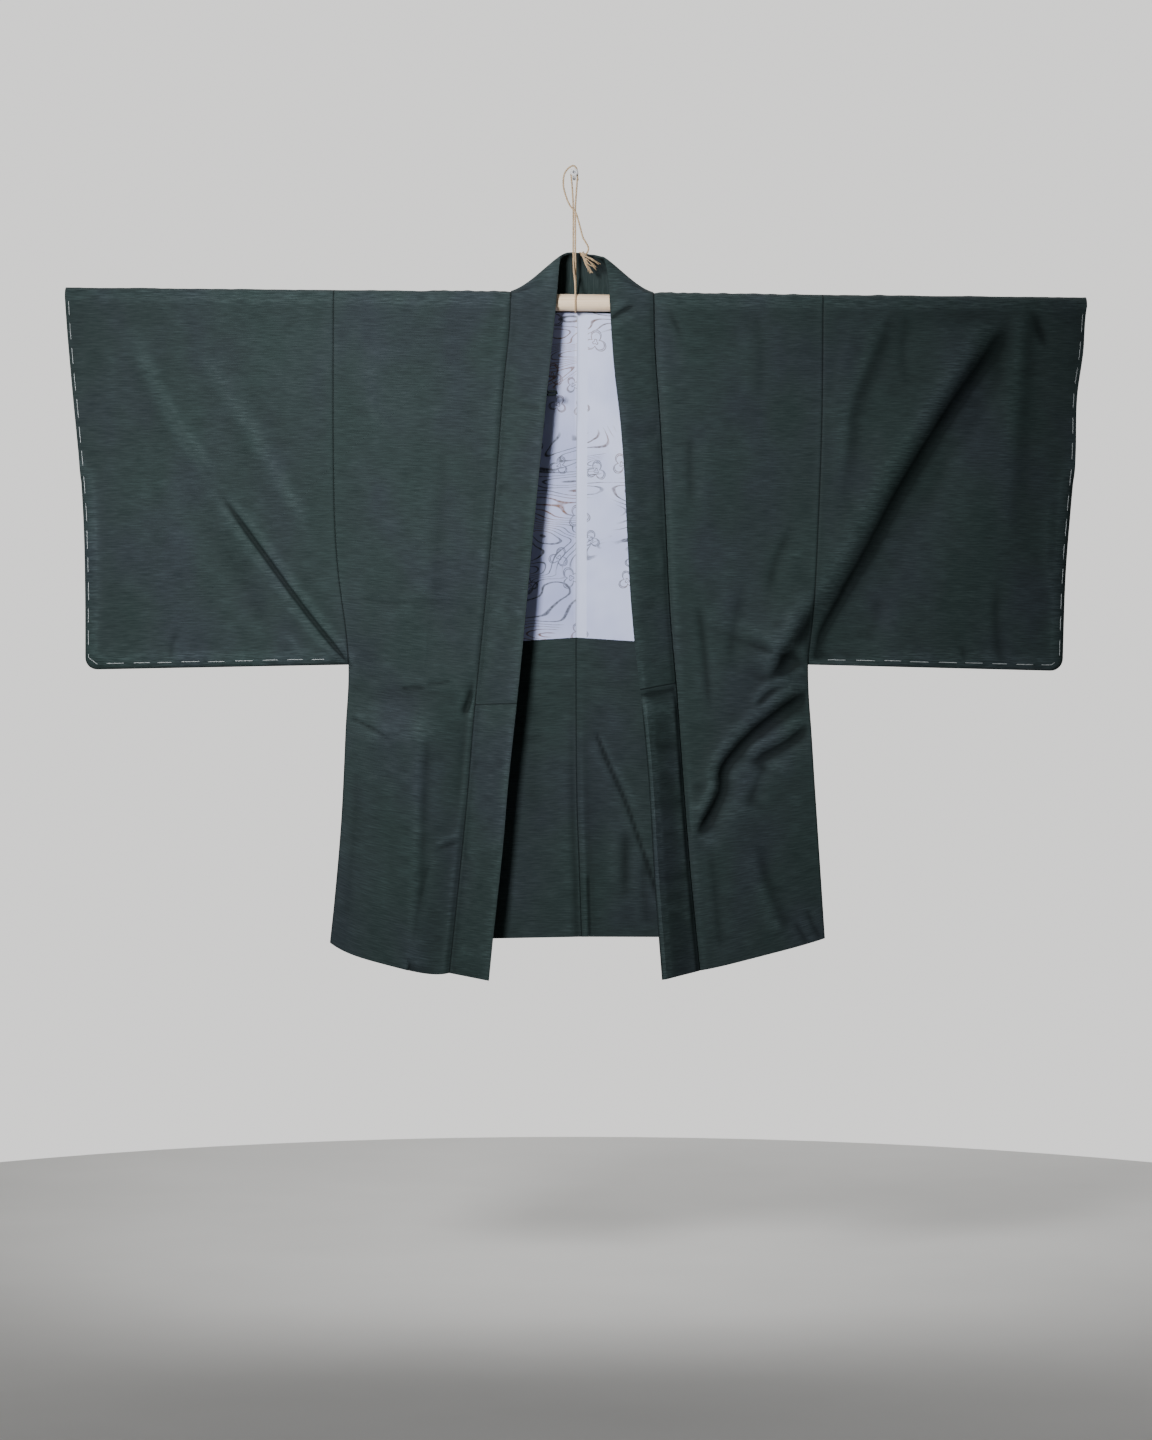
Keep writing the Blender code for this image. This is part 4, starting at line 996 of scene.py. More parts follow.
# Creases across the lapels
LAPEL_CREASES = (
    Crease(((82, -171), (66, -179), (48, -190)),
           -2.6, 1.9, 2.4, power=1.2, spread=(1.6, 0.8), fade=(0.5, 0.08)),
    Crease(((80, -164), (64, -171), (48, -179)), 1.0, 5, 5, fade=(0.4, 0.2)),
    Crease(((89, -676), (96, -780), (103, -900), (111, -1040)), 12.5, 31, 9, power=1.3, fade=(0.12, 0.0)),
    Crease(((84, -677), (108, -672), (134, -667)), -1.1, 2.8, 3.4, fade=(0.1, 0.1)),
    Crease(((86, -698), (110, -694), (138, -696)), 1.1, 9, 7, fade=(0.2, 0.2)),
    Crease(((92, -738), (114, -742), (140, -740)), -1.3, 12, 9, fade=(0.2, 0.2)),
    Crease(((98, -775), (118, -770), (142, -776)), 1.2, 10, 12, fade=(0.2, 0.2)),
    Crease(((98, -812), (120, -818), (146, -812)), -1.1, 10, 8, fade=(0.2, 0.2)),
    Crease(((100, -850), (126, -846), (148, -852)), 1.0, 12, 9, fade=(0.2, 0.2)),
    Crease(((104, -905), (126, -912), (152, -906)), -1.0, 11, 9, fade=(0.2, 0.2)),
    Crease(((106, -958), (130, -950), (156, -962)), 0.9, 9, 11, fade=(0.2, 0.2)),
    Crease(((70, -500), (96, -512), (122, -506)), 0.7, 16, 12, fade=(0.2, 0.2)),
    Crease(((62, -345), (86, -336), (110, -342)), -0.7, 18, 14, fade=(0.2, 0.2)),
    Crease(((-72, -300), (-66, -303), (-44, -306)), -0.5, 3.0, 4.0, fade=(0.3, 0.1)),
    Crease(((-104, -560), (-84, -572), (-66, -566)), 0.6, 20, 16, fade=(0.2, 0.2)),
    Crease(((-96, -400), (-76, -412), (-50, -408)), -0.6, 22, 18, fade=(0.2, 0.2)),
    Crease(((-150, -1000), (-128, -1012), (-108, -1006)), 0.7, 14, 10, fade=(0.2, 0.2)),
    Crease(((-134, -760), (-112, -770), (-86, -764)), -0.7, 20, 15, fade=(0.2, 0.2)),
    Crease(((-142, -880), (-118, -872), (-96, -878)), 0.7, 18, 15, fade=(0.2, 0.2)),
)

# The shoulder's small scallops, where the cloth is eased over the rod: place, half width and height
SCALLOPS = (
    (-182, 7, 0.8), (-168, 8, 1.3), (-151, 6, 0.9), (-138, 8, 1.5), (-120, 7, 1.1), (-104, 7, 1.4),
    (-91, 5, 0.8), (-236, 9, 0.6), (-262, 7, 0.5), (112, 6, 1.2), (125, 8, 1.6), (141, 6, 1.1),
    (158, 9, 1.5), (176, 7, 0.9), (193, 8, 1.3), (214, 7, 1.0), (232, 9, 1.2), (255, 7, 0.6),
    (283, 8, 0.9), (-420, 16, 0.4), (-560, 20, 0.4), (430, 15, 0.6), (520, 18, 0.5), (395, 9, 0.8))


def scallops(x: np.ndarray) -> np.ndarray:
    """How far the shoulder stands off the rod at a place from side to side."""
    total = np.zeros_like(x)
    for middle, half, height in SCALLOPS:
        total += height * np.exp(-((x - middle) / half) ** 2)
    return total


# Rows and columns


def close_to_start(width: float, step: float) -> np.ndarray:
    """Places from 0 to 1 over a width, close together where the seam is and even beyond it."""
    start = NEAR_SEAM[-1]
    count = max(int(round((width - start) / step)), 2)
    return np.concatenate((NEAR_SEAM, np.linspace(start, width, count + 1)[1:])) / width


def close_to_ends(width: float, step: float) -> np.ndarray:
    """Places from 0 to 1 over a width, close together at both of its ends."""
    near, start = NEAR_SEAM[:-1], NEAR_SEAM[-1]
    count = max(int(round((width - 2 * start) / step)), 2)
    middle = np.linspace(start, width - start, count + 1)
    return np.concatenate((near, middle, (width - near)[::-1])) / width


def seam_dip(distance: np.ndarray) -> np.ndarray:
    """How deep a seam pulls the cloth in, by the distance to it."""
    return 0.55 * np.exp(-(distance / 1.5) ** 2)


def front_relief(side: Side, x: np.ndarray, z: np.ndarray) -> np.ndarray:
    """The front's creases and slight unevenness, sleeve and body in one."""
    creases = LEFT_CREASES if side is Side.LEFT else RIGHT_CREASES
    fine = 0.22 * unevenness(x, z * 1.6, 21, 12) + 0.5 * unevenness(x, z, 85, 11)
    return relief(creases, x, z) + fine


def over_rod(x: np.ndarray, count: int) -> tuple[np.ndarray, np.ndarray, np.ndarray]:
    """Rows over the rod, from its front to its back.

    Args:
        x: Each column's place from side to side.
        count: Rows between the front and the back.

    Returns:
        Points, directions, and each row's way round the rod.
    """
    angle = np.linspace(0, np.pi, count + 2)[1:-1][:, None]
    out, up = -np.cos(angle), np.sin(angle)
    radius = WRAP + scallops(x)[None, :] * up**2 + 0.25 * unevenness(x[None, :], angle * 40, 9, 5)
    points = np.stack(np.broadcast_arrays(
        x[None, :], ROD_Y + radius * out, rod_z(x)[None, :] + radius * up), axis=2)
    directions = np.stack(np.broadcast_arrays(np.zeros((1, len(x))), out, up), axis=2)
    return points, directions, (angle * WRAP)[:, 0]


@dataclass(frozen=True)
class Grid:
    """One layer of a cloth piece, its rows running down."""

    x: np.ndarray
    y: np.ndarray
    z: np.ndarray
    directions: np.ndarray
    seam: np.ndarray


def folded_wall(front: Grid, back: Grid) -> Wall:
    """Join two layers over the rod into one panel of cloth.

    Args:
        front: The layer in front of the rod, from the rod down.
        back: The layer behind it, with the same places from side to side in its first row.

    Returns:
        The panel, from the front's lower edge over the rod to the back's.
    """
    turn, turn_directions, way = over_rod(front.x[0], 14)
    fronts, backs = (np.stack((g.x, g.y, g.z), axis=2) for g in (front, back))
    points = np.concatenate((fronts[::-1], turn, backs))
    directions = np.concatenate((front.directions[::-1], turn_directions, back.directions))
    top = front.z[:1, :1]
    down, turned, up = (np.broadcast_to(rows, (len(rows), points.shape[1])) for rows in (
        front.z[:, :1], way[:, None], back.z[:, :1]))
    along = np.concatenate((down[::-1], turned + top, way[-1] + 2 * top - up))
    seam = np.concatenate((front.seam[::-1], np.broadcast_to(front.seam[:1], turn.shape[:2]), back.seam))
    return Wall(points, directions, along, points[..., 0], seam)


# The jacket's pieces


@dataclass
class Sleeve:
    """A sleeve: one wide panel folded over the rod, sewn along its lower edge and below the wrist."""

    side: Side
    hem: tuple[float, float]                # height of the lower edge at the armhole and at the wrist
    corner: float = CORNER
    wrist_end: float = -400.0               # lowest point of the wrist's opening
    wrist_blend: float = 35.0               # height over which the edge closes below it
    width: float = 328.0
    step: float = 2.6                       # between columns
    rows: tuple[int, int] = (180, 64)       # of the front and of the back

    def layer(self, layer: Layer, rows: int) -> Grid:
        """One layer from the rod's axis to the lower edge.

        Args:
            layer: Front or back.
            rows: Its number of even rows.

        Returns:
            The layer's grid.
        """
        out, sign = self.side.value, layer.value
        cuff, armhole = CUFF[self.side], SIDE_SEAM[self.side]
        arc = np.sin(np.linspace(0, np.pi / 2, 9))
        top = (float(rod_z(armhole.rows[0][1])), float(rod_z(cuff.rows[0][1])))
        drop = [np.concatenate((np.linspace(t, h + self.corner, rows), h + self.corner * (1 - arc[1:])))
                for t, h in zip(top, self.hem)]
        low = np.concatenate((np.zeros(rows), arc[1:]))[:, None]
        seam_x = (armhole.at(drop[0]) - out * SEWN)[:, None]
        cuff_x = cuff.at(drop[1])[:, None]
        plain = close_to_start(self.width - self.corner, self.step)[None, :]
        near = np.concatenate((np.zeros(plain.shape[1]), arc[1:]))[None, :]
        inner = mix(seam_x, cuff_x - out * self.corner, plain)
        round_part = cuff_x - out * self.corner * (1 - arc[1:])[None, :]
        x = np.concatenate((inner, round_part), axis=1)
        part = np.abs(x - seam_x) / np.abs(cuff_x - seam_x)
        z = mix(drop[0][:, None], drop[1][:, None], part)
        edge = np.hypot(low, near)
        reach = np.maximum(low, near)
        both = (low > 0) & (near > 0)
        safe = np.where(edge > 0, edge, 1.0)
        x = x + np.where(both, out * self.corner * (reach * near / safe - near), 0.0)
        z = z - np.where(both, self.corner * (reach * low / safe - low), 0.0)
        closed = smooth((self.wrist_end + self.wrist_blend - drop[1]) / self.wrist_blend)[:, None]
        shut = near * closed
        turn = np.maximum(low, shut)
        rise = np.sqrt(np.maximum(1 - turn**2, 0.0))
        deep = mix(SIDE_DEPTH[layer].at(z), CUFF_DEPTH[layer].at(z), part)
        half = np.abs(deep - ROD_Y)
        seam = np.abs(x - seam_x) + np.zeros_like(z)
        lift = self.relief(layer, x, z) * rise * below_rod(top[0], z)
        y = ROD_Y + sign * (GAP / 2 + (half - GAP / 2) * rise) - lift - seam_dip(seam) * sign
        spread = np.hypot(low, shut)
        spread = np.where(spread > 0, spread, 1.0)
        directions = unit(np.stack(np.broadcast_arrays(
            out * turn * shut / spread / self.corner, sign * rise / half,
            -turn * low / spread / self.corner), axis=2))
        lower = np.where(low > 0, (1 - low) * self.corner, NO_SEAM)
        return Grid(x, y, z, directions, np.minimum(seam, lower + 0.9))

    def relief(self, layer: Layer, x: np.ndarray, z: np.ndarray) -> np.ndarray:
        """The creases and the slight unevenness of one layer."""
        if layer is Layer.BACK:
            return relief(BACK_CREASES, x, z) + 0.7 * unevenness(x, z, 75, 21)
        return front_relief(self.side, x, z) + 0.5 * unevenness(x, z, 17, 13) * smooth((-585 - z) / 50)

    def build(self, finish: Material) -> Object:
        """Make the sleeve and put it in place of its two solids.

        Args:
            finish: The silk.

        Returns:
            The sleeve.
        """
        wall = folded_wall(*(self.layer(layer, rows) for layer, rows in zip(Layer, self.rows)))
        made = wall.build(f"{self.side.word}_sleeve", finish)
        dress(made, "silk", f"sleeve_{self.side.word}_front", f"sleeve_{self.side.word}_back")
        return made


@dataclass
class BodyPanel:
    """Half of the body: front and back in one panel of cloth, folded over the rod at the shoulder."""

    side: Side
    hem: float                              # height of the lower edge at the side
    lapel_hem: float                        # and at the lapel
    join: float                             # height of the seam across the lapel
    bow: float                              # sag of the front's lower edge
    armpit: float = -635.7
    corner: float = CORNER
    back_hem: float = -990.0
    # Drop below the rod's axis at the side, height at the neck, part of the way to the centre seam
    neckline: tuple[Place, ...] = (
        (0.0, -168.0, 0.0), (5.0, -172.5, 0.22), (8.5, -175.5, 0.58), (12.0, -177.0, 1.0))
    lining_top: float = -179.0
    lining_drop: float = 17.0               # how far below the rod's axis the lining starts
    lining_hem: float = -601.0
    gore_top: float = -645.0
    gore_width: tuple[float, float] = (5.0, 34.0)   # folded, at its top and at the hem
    width: float = 228.0
    step: float = 2.6                       # between columns
    rows: int = 312                         # of the front

    def top(self) -> float:
        """Height of the rod's axis at the armhole."""
        return float(rod_z(SIDE_SEAM[self.side].rows[0][1]))

    def front(self) -> Grid:
        """The front from the rod's axis to the hem."""
        out = self.side.value
        down = np.linspace(0, 1, self.rows)[:, None]
        side_z = mix(self.top(), self.hem, down)
        lapel_top = float(rod_z(LAPEL_SEAM[self.side].rows[0][1]))
        side_join = self.armpit - (self.armpit - self.hem) / 11
        lapel_z = np.interp(-side_z, [-self.top(), -side_join, -self.hem],
                            [lapel_top, self.join, self.lapel_hem])
        side_x = SIDE_SEAM[self.side].at(side_z) + out * SEWN
        lapel_x = LAPEL_SEAM[self.side].at(lapel_z) - out * SEWN
        u = close_to_ends(self.width, self.step)[None, :]
        x = mix(side_x, lapel_x, u)
        z = mix(side_z, lapel_z, u) - self.bow * down**3 * (1 - (2 * u - 1) ** 4)
        seam = np.minimum(np.abs(x - side_x), np.abs(x - lapel_x))
        to_lapel = np.abs(x - lapel_x)
        lift = front_relief(self.side, x, z) * smooth(to_lapel / 9) * below_rod(self.top(), z)
        y = self.front_depth(side_z, lapel_z, u) - lift + seam_dip(seam)
        y = y + 0.9 * np.exp(-(to_lapel / 4.5) ** 2)
        return Grid(x, y, z, facing(x, Layer.FRONT), np.minimum(seam, 0.9 - (z[-1:] - z)))

    def front_depth(self, side_z: np.ndarray, lapel_z: np.ndarray, u: np.ndarray) -> np.ndarray:
        """How deep the plain front hangs between its two edges."""
        return mix(SIDE_DEPTH[Layer.FRONT].at(side_z), LAPEL_SEAM_DEPTH.at(lapel_z), smooth(u))

    def back_depth(self, side_z: np.ndarray, inner_z: np.ndarray, part: np.ndarray) -> np.ndarray:
        """How deep the plain back hangs at parts of the way to the centre seam."""
        return mix(SIDE_DEPTH[Layer.BACK].at(side_z), CENTRE_DEPTH.at(inner_z), part)

    def inner_edge(self, side_z: np.ndarray) -> tuple[np.ndarray, np.ndarray]:
        """The back's inner edge: the neckline, then the centre seam.

        Args:
            side_z: Heights of the rows at the side.

        Returns:
            Height and place from side to side of each row's inner end.
        """
        out = self.side.value
        neck_x = LAPEL_SEAM[self.side].rows[0][1] - out * SEWN
        drops, heights, parts = zip(
            *self.neckline,
            (self.lining_drop, self.lining_top, 1.0),
            (self.top() - self.armpit - self.corner, self.lining_hem, 1.0),
            (self.top() - self.hem, self.back_hem, 1.0))
        below = self.top() - side_z
        inner_z = np.interp(below, drops, heights)
        part = np.interp(below, drops, parts)
        seam_x = CENTRE_SEAM.at(inner_z) - out * SEWN
        return inner_z, mix(neck_x, seam_x, part)

    def back(self, heights: np.ndarray) -> Grid:
        """The back from the rod's axis to the hem, with a row at each height on its side edge."""
        out = self.side.value
        side_z = heights[:, None]
        inner_z, inner_x = self.inner_edge(side_z)
        side_x = SIDE_SEAM[self.side].at(side_z) + out * SEWN
        u = close_to_ends(self.width, self.step)[None, :]
        x = mix(side_x, inner_x, u)
        z = mix(side_z, inner_z, u)
        whole = np.abs(CENTRE_SEAM.at(inner_z) - side_x)
        to_side, to_inner = np.abs(x - side_x), np.abs(x - inner_x)
        seam = np.minimum(to_side, to_inner)
        fine = 0.2 * unevenness(x, z * 1.6, 19, 32) + 0.55 * unevenness(x, z, 80, 31)
        fade = smooth(to_side / 4) * smooth(to_inner / 4) * below_rod(self.top(), z)
        y = self.back_depth(side_z, inner_z, smooth(u) * np.abs(inner_x - side_x) / whole)
        y = y - (relief(BACK_CREASES, x, z) + fine) * fade - self.seam_fold(x, z) - seam_dip(seam) * 0.6
        return Grid(x, y, z, facing(x, Layer.BACK), np.minimum(seam, 0.9 - (z[-1:] - z)))

    def seam_fold(self, x: np.ndarray, z: np.ndarray) -> np.ndarray:
        """The centre seam's turned-in cloth, a low raised band that grows towards the hem."""
        off = x - CENTRE_SEAM.at(z)
        grown = smooth((-600 - z) / 320)
        band = smooth(off / 1.6 + 0.5) * smooth((11.0 - off) / 2.2)
        edge = -0.9 * np.exp(-((off - 10.5) / 1.4) ** 2) * smooth((-905 - z) / 14)
        trough = -0.9 * np.exp(-((off + 5) / 6) ** 2) if self.side is Side.LEFT else 0.0
        return grown * (1.1 * band + edge + trough)

    def back_heights(self) -> np.ndarray:
        """Heights of the back's rows at the side, closer together where the back shows in front."""
        top, turn = self.top(), self.armpit + self.corner
        return np.concatenate((
            top - np.array([0.0, 2.5, 5.0, 6.8, 8.5, 10.2, 12.0, 14.5]),
            np.linspace(top - self.lining_drop, turn, 62),
            np.linspace(turn, self.hem, 104)[1:]))

    def build(self, finish: Material) -> Object:
        """Make the panel and put it in place of its two solids.

        Args:
            finish: The silk.

        Returns:
            The panel.
        """
        wall = folded_wall(self.front(), self.back(self.back_heights()))
        made = wall.build(f"{self.side.word}_body", finish)
        dress(made, "silk", f"front_{self.side.word}", f"back_{self.side.word}")
        return made

    def build_lining(self, finish: Material) -> Object:
        """Make the printed lining on the inside of the back.

        Args:
            finish: The printed silk.

        Returns:
            The lining.
        """
        panel = self.back(np.linspace(self.top() - self.lining_drop, self.armpit + self.corner, 150))
        first = panel.x.shape[1] // 2
        lift = CLOTH / 2 + GAP + 0.5
        x, z = panel.x[:, first:], panel.z[:, first:]
        y = panel.y[:, first:] - lift - 0.12 * (1 + unevenness(x * 1.5, z, 24, 44))
        wall = Wall(np.stack((x, y, z), axis=2), facing(x, Layer.FRONT), z[:, :1] + 0 * z, x + 700.0,
                    np.abs(x - x[:, -1:]), 1.0)
        made = wall.build(f"{self.side.word}_lining", finish)
        dress(made, "lining", f"lining_{self.side.word}")
        return made

    def build_gore(self, finish: Material) -> Object:
        """Make the narrow side gore, sewn to the front and the back and folded inwards.

        Args:
            finish: The silk.

        Returns:
            The gore.
        """
        inwards = -self.side.value
        top = self.gore_top
        z = np.linspace(top, self.hem + 2.0, 90)[:, None]
        fold = mix(*self.gore_width, (top - z) / (top - z[-1]))
        edge_x = SIDE_SEAM[self.side].at(z) + inwards * 1.0
        way = np.linspace(-1, 1, 23)[None, :]
        x = edge_x + inwards * fold * (1 - np.abs(way) ** 2.6)
        z = z + 0 * x
        lift = CLOTH / 2 + GAP + 0.75
        off = x - edge_x
        to_lapel, to_centre = (np.clip(off / (line.at(z) - edge_x), 0, 1) for line in (
            LAPEL_SEAM[self.side], CENTRE_SEAM))
        front_y = self.front_depth(z, z, to_lapel) - front_relief(self.side, x, z)
        front_y = front_y + seam_dip(np.abs(off)) + lift
        back_y = self.back_depth(z, z, smooth(to_centre))
        back_y = back_y - relief(BACK_CREASES, x, z) * smooth(np.abs(off) / 4) - lift
        middle = (front_y + back_y) / 2
        part = smooth(np.abs(way) / 0.62)
        y = np.where(way < 0, mix(middle, front_y, part), mix(middle, back_y, part))
        points = np.stack((x, y, z), axis=2)
        directions = unit(np.cross(np.gradient(points, axis=0), np.gradient(points, axis=1)))
        across = np.cumsum(np.linalg.norm(np.diff(points, axis=1, prepend=points[:, :1]), axis=2), axis=1)
        wall = Wall(points, directions, z, across + 300.0, 0 * x + 5.0, 1.5)
        made = wall.build(f"{self.side.word}_gore", finish)
        dress(made, "silk", f"gusset_{self.side.word}")
        return made


@dataclass
class Collar:
    """The collar: one strip folded double, sewn round the neck and down both fronts.

    Its middle length runs from a join seam on the left lapel round the neck to the one on the right. A
    separate end goes on from each join to the hem.
    """

    # Round the neck. Sewn edge: place, angle round the rod, radius, drop. Free edge: its X, Y and Z
    turn: tuple[tuple[float, ...], ...] = (
        (-81.9, 22, 13.2, 0, -21.6, -41.5, -150),
        (-81.9, 56, 13.2, 0, -19.5, -37, -125),
        (-81.8, 90, 13.4, 0, -16.8, -30, -109.2),
        (-82.2, 125, 14.2, 0, -10, -19, -103.2),
        (-82.6, 158, 15.8, 0, -5.5, -14, -101.6),
        (-80.5, 180, 17.2, 7, -1.5, -10.5, -100.8),
        (-64.0, 180, 17.8, 11, 1.5, -8.6, -100.4),
        (-42.0, 180, 18.2, 12, 4.5, -7.6, -100.5),
        (-20.0, 180, 18.5, 12, 7, -7.2, -100.6),
        (8.0, 180, 18.7, 13, 10, -7.0, -101),
        (38.0, 180, 18.5, 12, 15, -7.2, -101.6),
        (62.0, 180, 18.2, 12, 18.5, -7.6, -102.3),
        (85.0, 180, 17.8, 11, 23, -8.8, -103.3),
        (98.6, 180, 17.2, 7, 27.5, -12, -104.8),
        (101.4, 158, 15.8, 0, 30.5, -15, -106.2),
        (102.0, 125, 14.2, 0, 33.5, -19, -107.6),
        (102.2, 90, 13.4, 0, 38.6, -30, -111.5),
        (102.3, 56, 13.2, 0, 42, -37, -127),
        (102.3, 22, 13.2, 0, 44.6, -41.5, -152))
    # Heights at the sewn edge and at the free edge, left lapel first
    joins: tuple[tuple[float, float], ...] = ((-688.4, -687.0), (-660.5, -669.4))
    hems: tuple[tuple[float, float], ...] = ((-1035.0, -1044.0), (-1032.0, -1042.0))
    inner_tops: tuple[float, float] = (-178.0, -197.0)
    neck_sag: float = 4.6                       # how far the strip dips behind the neck
    step: float = 2.7                           # between columns
    rows: int = 520                             # of the strip
    lapel_rows: int = 30                        # of each lapel that the strip's curve goes through
    end_rows: int = 150                         # of each end

    def edges(self, side: Side, end: bool) -> tuple[np.ndarray, np.ndarray]:
        """A lapel's sewn edge and free edge, from the top down.

        Args:
            side: Which lapel.
            end: Whether to give the end below the join instead of the length above it.

        Returns:
            Points on both edges, row by row.
        """
        join, hem = self.joins[side.index], self.hems[side.index]
        tops = (float(rod_z(LAPEL_SEAM[side].rows[0][1])), self.inner_tops[side.index])
        outer_z, inner_z = (
            np.linspace(join[k] + SEWN, hem[k], self.end_rows) if end
            else np.linspace(tops[k], join[k] - SEWN, self.lapel_rows) for k in (0, 1))
        outer_x = LAPEL_SEAM[side].at(outer_z) + side.value * SEWN
        outer = np.stack((outer_x, LAPEL_SEAM_DEPTH.at(outer_z), outer_z), axis=1)
        inner_x = LAPEL_FREE[side].at(inner_z)
        inner = np.stack((inner_x, LAPEL_FREE_DEPTH[side].at(inner_z), inner_z), axis=1)
        return outer, inner

    def neck_edges(self) -> tuple[np.ndarray, np.ndarray]:
        """The two edges round the neck, from the left lapel to the right."""
        outer, inner = [], []
        for x, angle, radius, drop, inner_x, inner_y, inner_z in self.turn:
            a = math.radians(angle)
            outer.append((x, ROD_Y - radius * math.cos(a), float(rod_z(x)) + radius * math.sin(a) - drop))
            inner.append((inner_x, inner_y, inner_z))
        return np.array(outer), np.array(inner)

    def wall(self, outer: np.ndarray, inner: np.ndarray, start: float) -> Wall:
        """A strip between two edges.

        Args:
            outer: Points on the sewn edge.
            inner: Points on the free edge.
            start: The cloth's place at the first row.

        Returns:
            The strip, slightly padded along its middle.
        """
        u = close_to_ends(LAPEL_WIDTH, self.step)[None, :, None]
        points = outer[:, None, :] * (1 - u) + inner[:, None, :] * u
        neck = smooth((points[..., 2] + 160) / 8) * smooth((outer[:, None, 2] + 162) / 5)
        dip = 27 / 4 * u[..., 0] * (1 - u[..., 0]) ** 2     # 1 at its deepest, a third of the way in
        points[..., 2] -= neck * self.neck_sag * dip
        directions = unit(np.cross(np.gradient(points, axis=1), np.gradient(points, axis=0)))
        if (directions[..., 1] > 0).mean() > 0.5:
            directions = -directions
        flat = smooth((-150 - points[..., 2]) / 30)[..., None]
        directions = unit(directions * (1 - flat) + np.array([0.0, -1.0, 0.0]) * flat)
        across = LAPEL_WIDTH * u[..., 0] + np.zeros(points.shape[:2])
        free = LAPEL_WIDTH - across
        pad = 0.9 * (1 - np.exp(-across / 4.0)) * (1 - np.exp(-free / 3.5)) - 0.5
        x, z = points[..., 0], points[..., 2]
        fine = 0.35 * unevenness(x, z, 34, 52)
        soft = relief(LAPEL_CREASES, x, z) + fine + 0.18 * unevenness(x, z * 1.7, 15, 53)
        lift = pad * 0.8 + soft * smooth(across / 8) * flat[..., 0] * np.minimum(1.0, 0.35 + free / 12)
        points = points + directions * lift[..., None]
        middle = (outer + inner) / 2
        ahead = unit(np.gradient(middle, axis=0))
        off = np.einsum("ijk,ik->ij", points - middle[:, None], ahead)
        along = start + distance_along(middle)[:, None] + off
        return Wall(points, directions, along, across, self.near_join(points, along, across), COLLAR_CLOTH)

    def build(self, finish: Material) -> list[Object]:
        """Make the collar's three lengths and put each in place of its solid.

        Args:
            finish: The silk.

        Returns:
            The collar and its two ends.
        """
        left, right = (np.concatenate(self.edges(side, False), axis=1) for side in Side)
        neck = np.concatenate(self.neck_edges(), axis=1)
        both = curve_through(np.concatenate((left[::-1], neck, right)), self.rows)
        made = [self.wall(both[:, :3], both[:, 3:], 0.0).build("collar_strip", finish)]
        for side in Side:
            end = self.wall(*self.edges(side, True), 1600.0 + 500.0 * side.index)
            made.append(end.build(f"{side.word}_collar_end", finish))
        nodes = ("collar", "collar_end_left", "collar_end_right")
        flats = ((0.124, 1.35), (0.124, 0.36), (0.124, 0.38))
        for obj, node, flat in zip(made, nodes, flats):
            dress(obj, "silk", node)
        return made

    def near_join(self, points: np.ndarray, along: np.ndarray, across: np.ndarray) -> np.ndarray:
        """Distance to the strip's sewn edge or to its join seam, whichever is nearer."""
        ends = np.minimum(np.abs(along - along[:1]), np.abs(along - along[-1:]))
        return np.minimum(across, np.where(points[..., 2] < -900, NO_SEAM, ends))


@dataclass
class CordLoop:
    """A small braided loop sewn behind a lapel, that takes one of the jacket's cords."""

    side: Side
    height: float = -287.0
    reaches: tuple[float, float] = (12.0, -4.0)     # how far each end lies past the lapel's free edge
    length: float = 21.0
    width: float = 4.2
    diameter: float = 3.2

    def build(self, finish: Material) -> Object:
        """Make the loop and put it in place of its solid.

        Args:
            finish: Its thread.

        Returns:
            The loop.
        """
        inwards = -self.side.value
        reach = self.reaches[self.side.index]
        free_x, sewn_x, free_y, sewn_y = (float(line.at(self.height)) for line in (
            LAPEL_FREE[self.side], LAPEL_SEAM[self.side], LAPEL_FREE_DEPTH[self.side], LAPEL_SEAM_DEPTH))
        behind = COLLAR_CLOTH / 2 + GAP + self.diameter / 2 + 0.4
        half, lean = self.width / 2, 1.0 if reach > 0 else 0.0
        places = []
        for back, up, out in (
                (self.length, half, -1.2), (self.length * 0.57, half, 0.0), (2.4, half * 0.86, lean),
                (0.0, 0.0, lean), (2.4, -half * 0.86, lean), (self.length * 0.57, -half, 0.0),
                (self.length, -half, -1.2)):
            hidden = max(0.0, back - reach) / abs(sewn_x - free_x)
            deep = mix(free_y, sewn_y, hidden) + behind - out
            places.append((free_x + inwards * (reach - back), deep, self.height + up))
        parts = tube_parts(curve_through(places, 90), self.diameter / 2, 14, lobes=3, depth=0.16, pitch=6.0)
        made = mesh_object(f"{self.side.word}_cord_loop", [parts], finish)
        dress(made, "silk", f"cord_loop_{self.side.word}")
        return made


# What holds the jacket


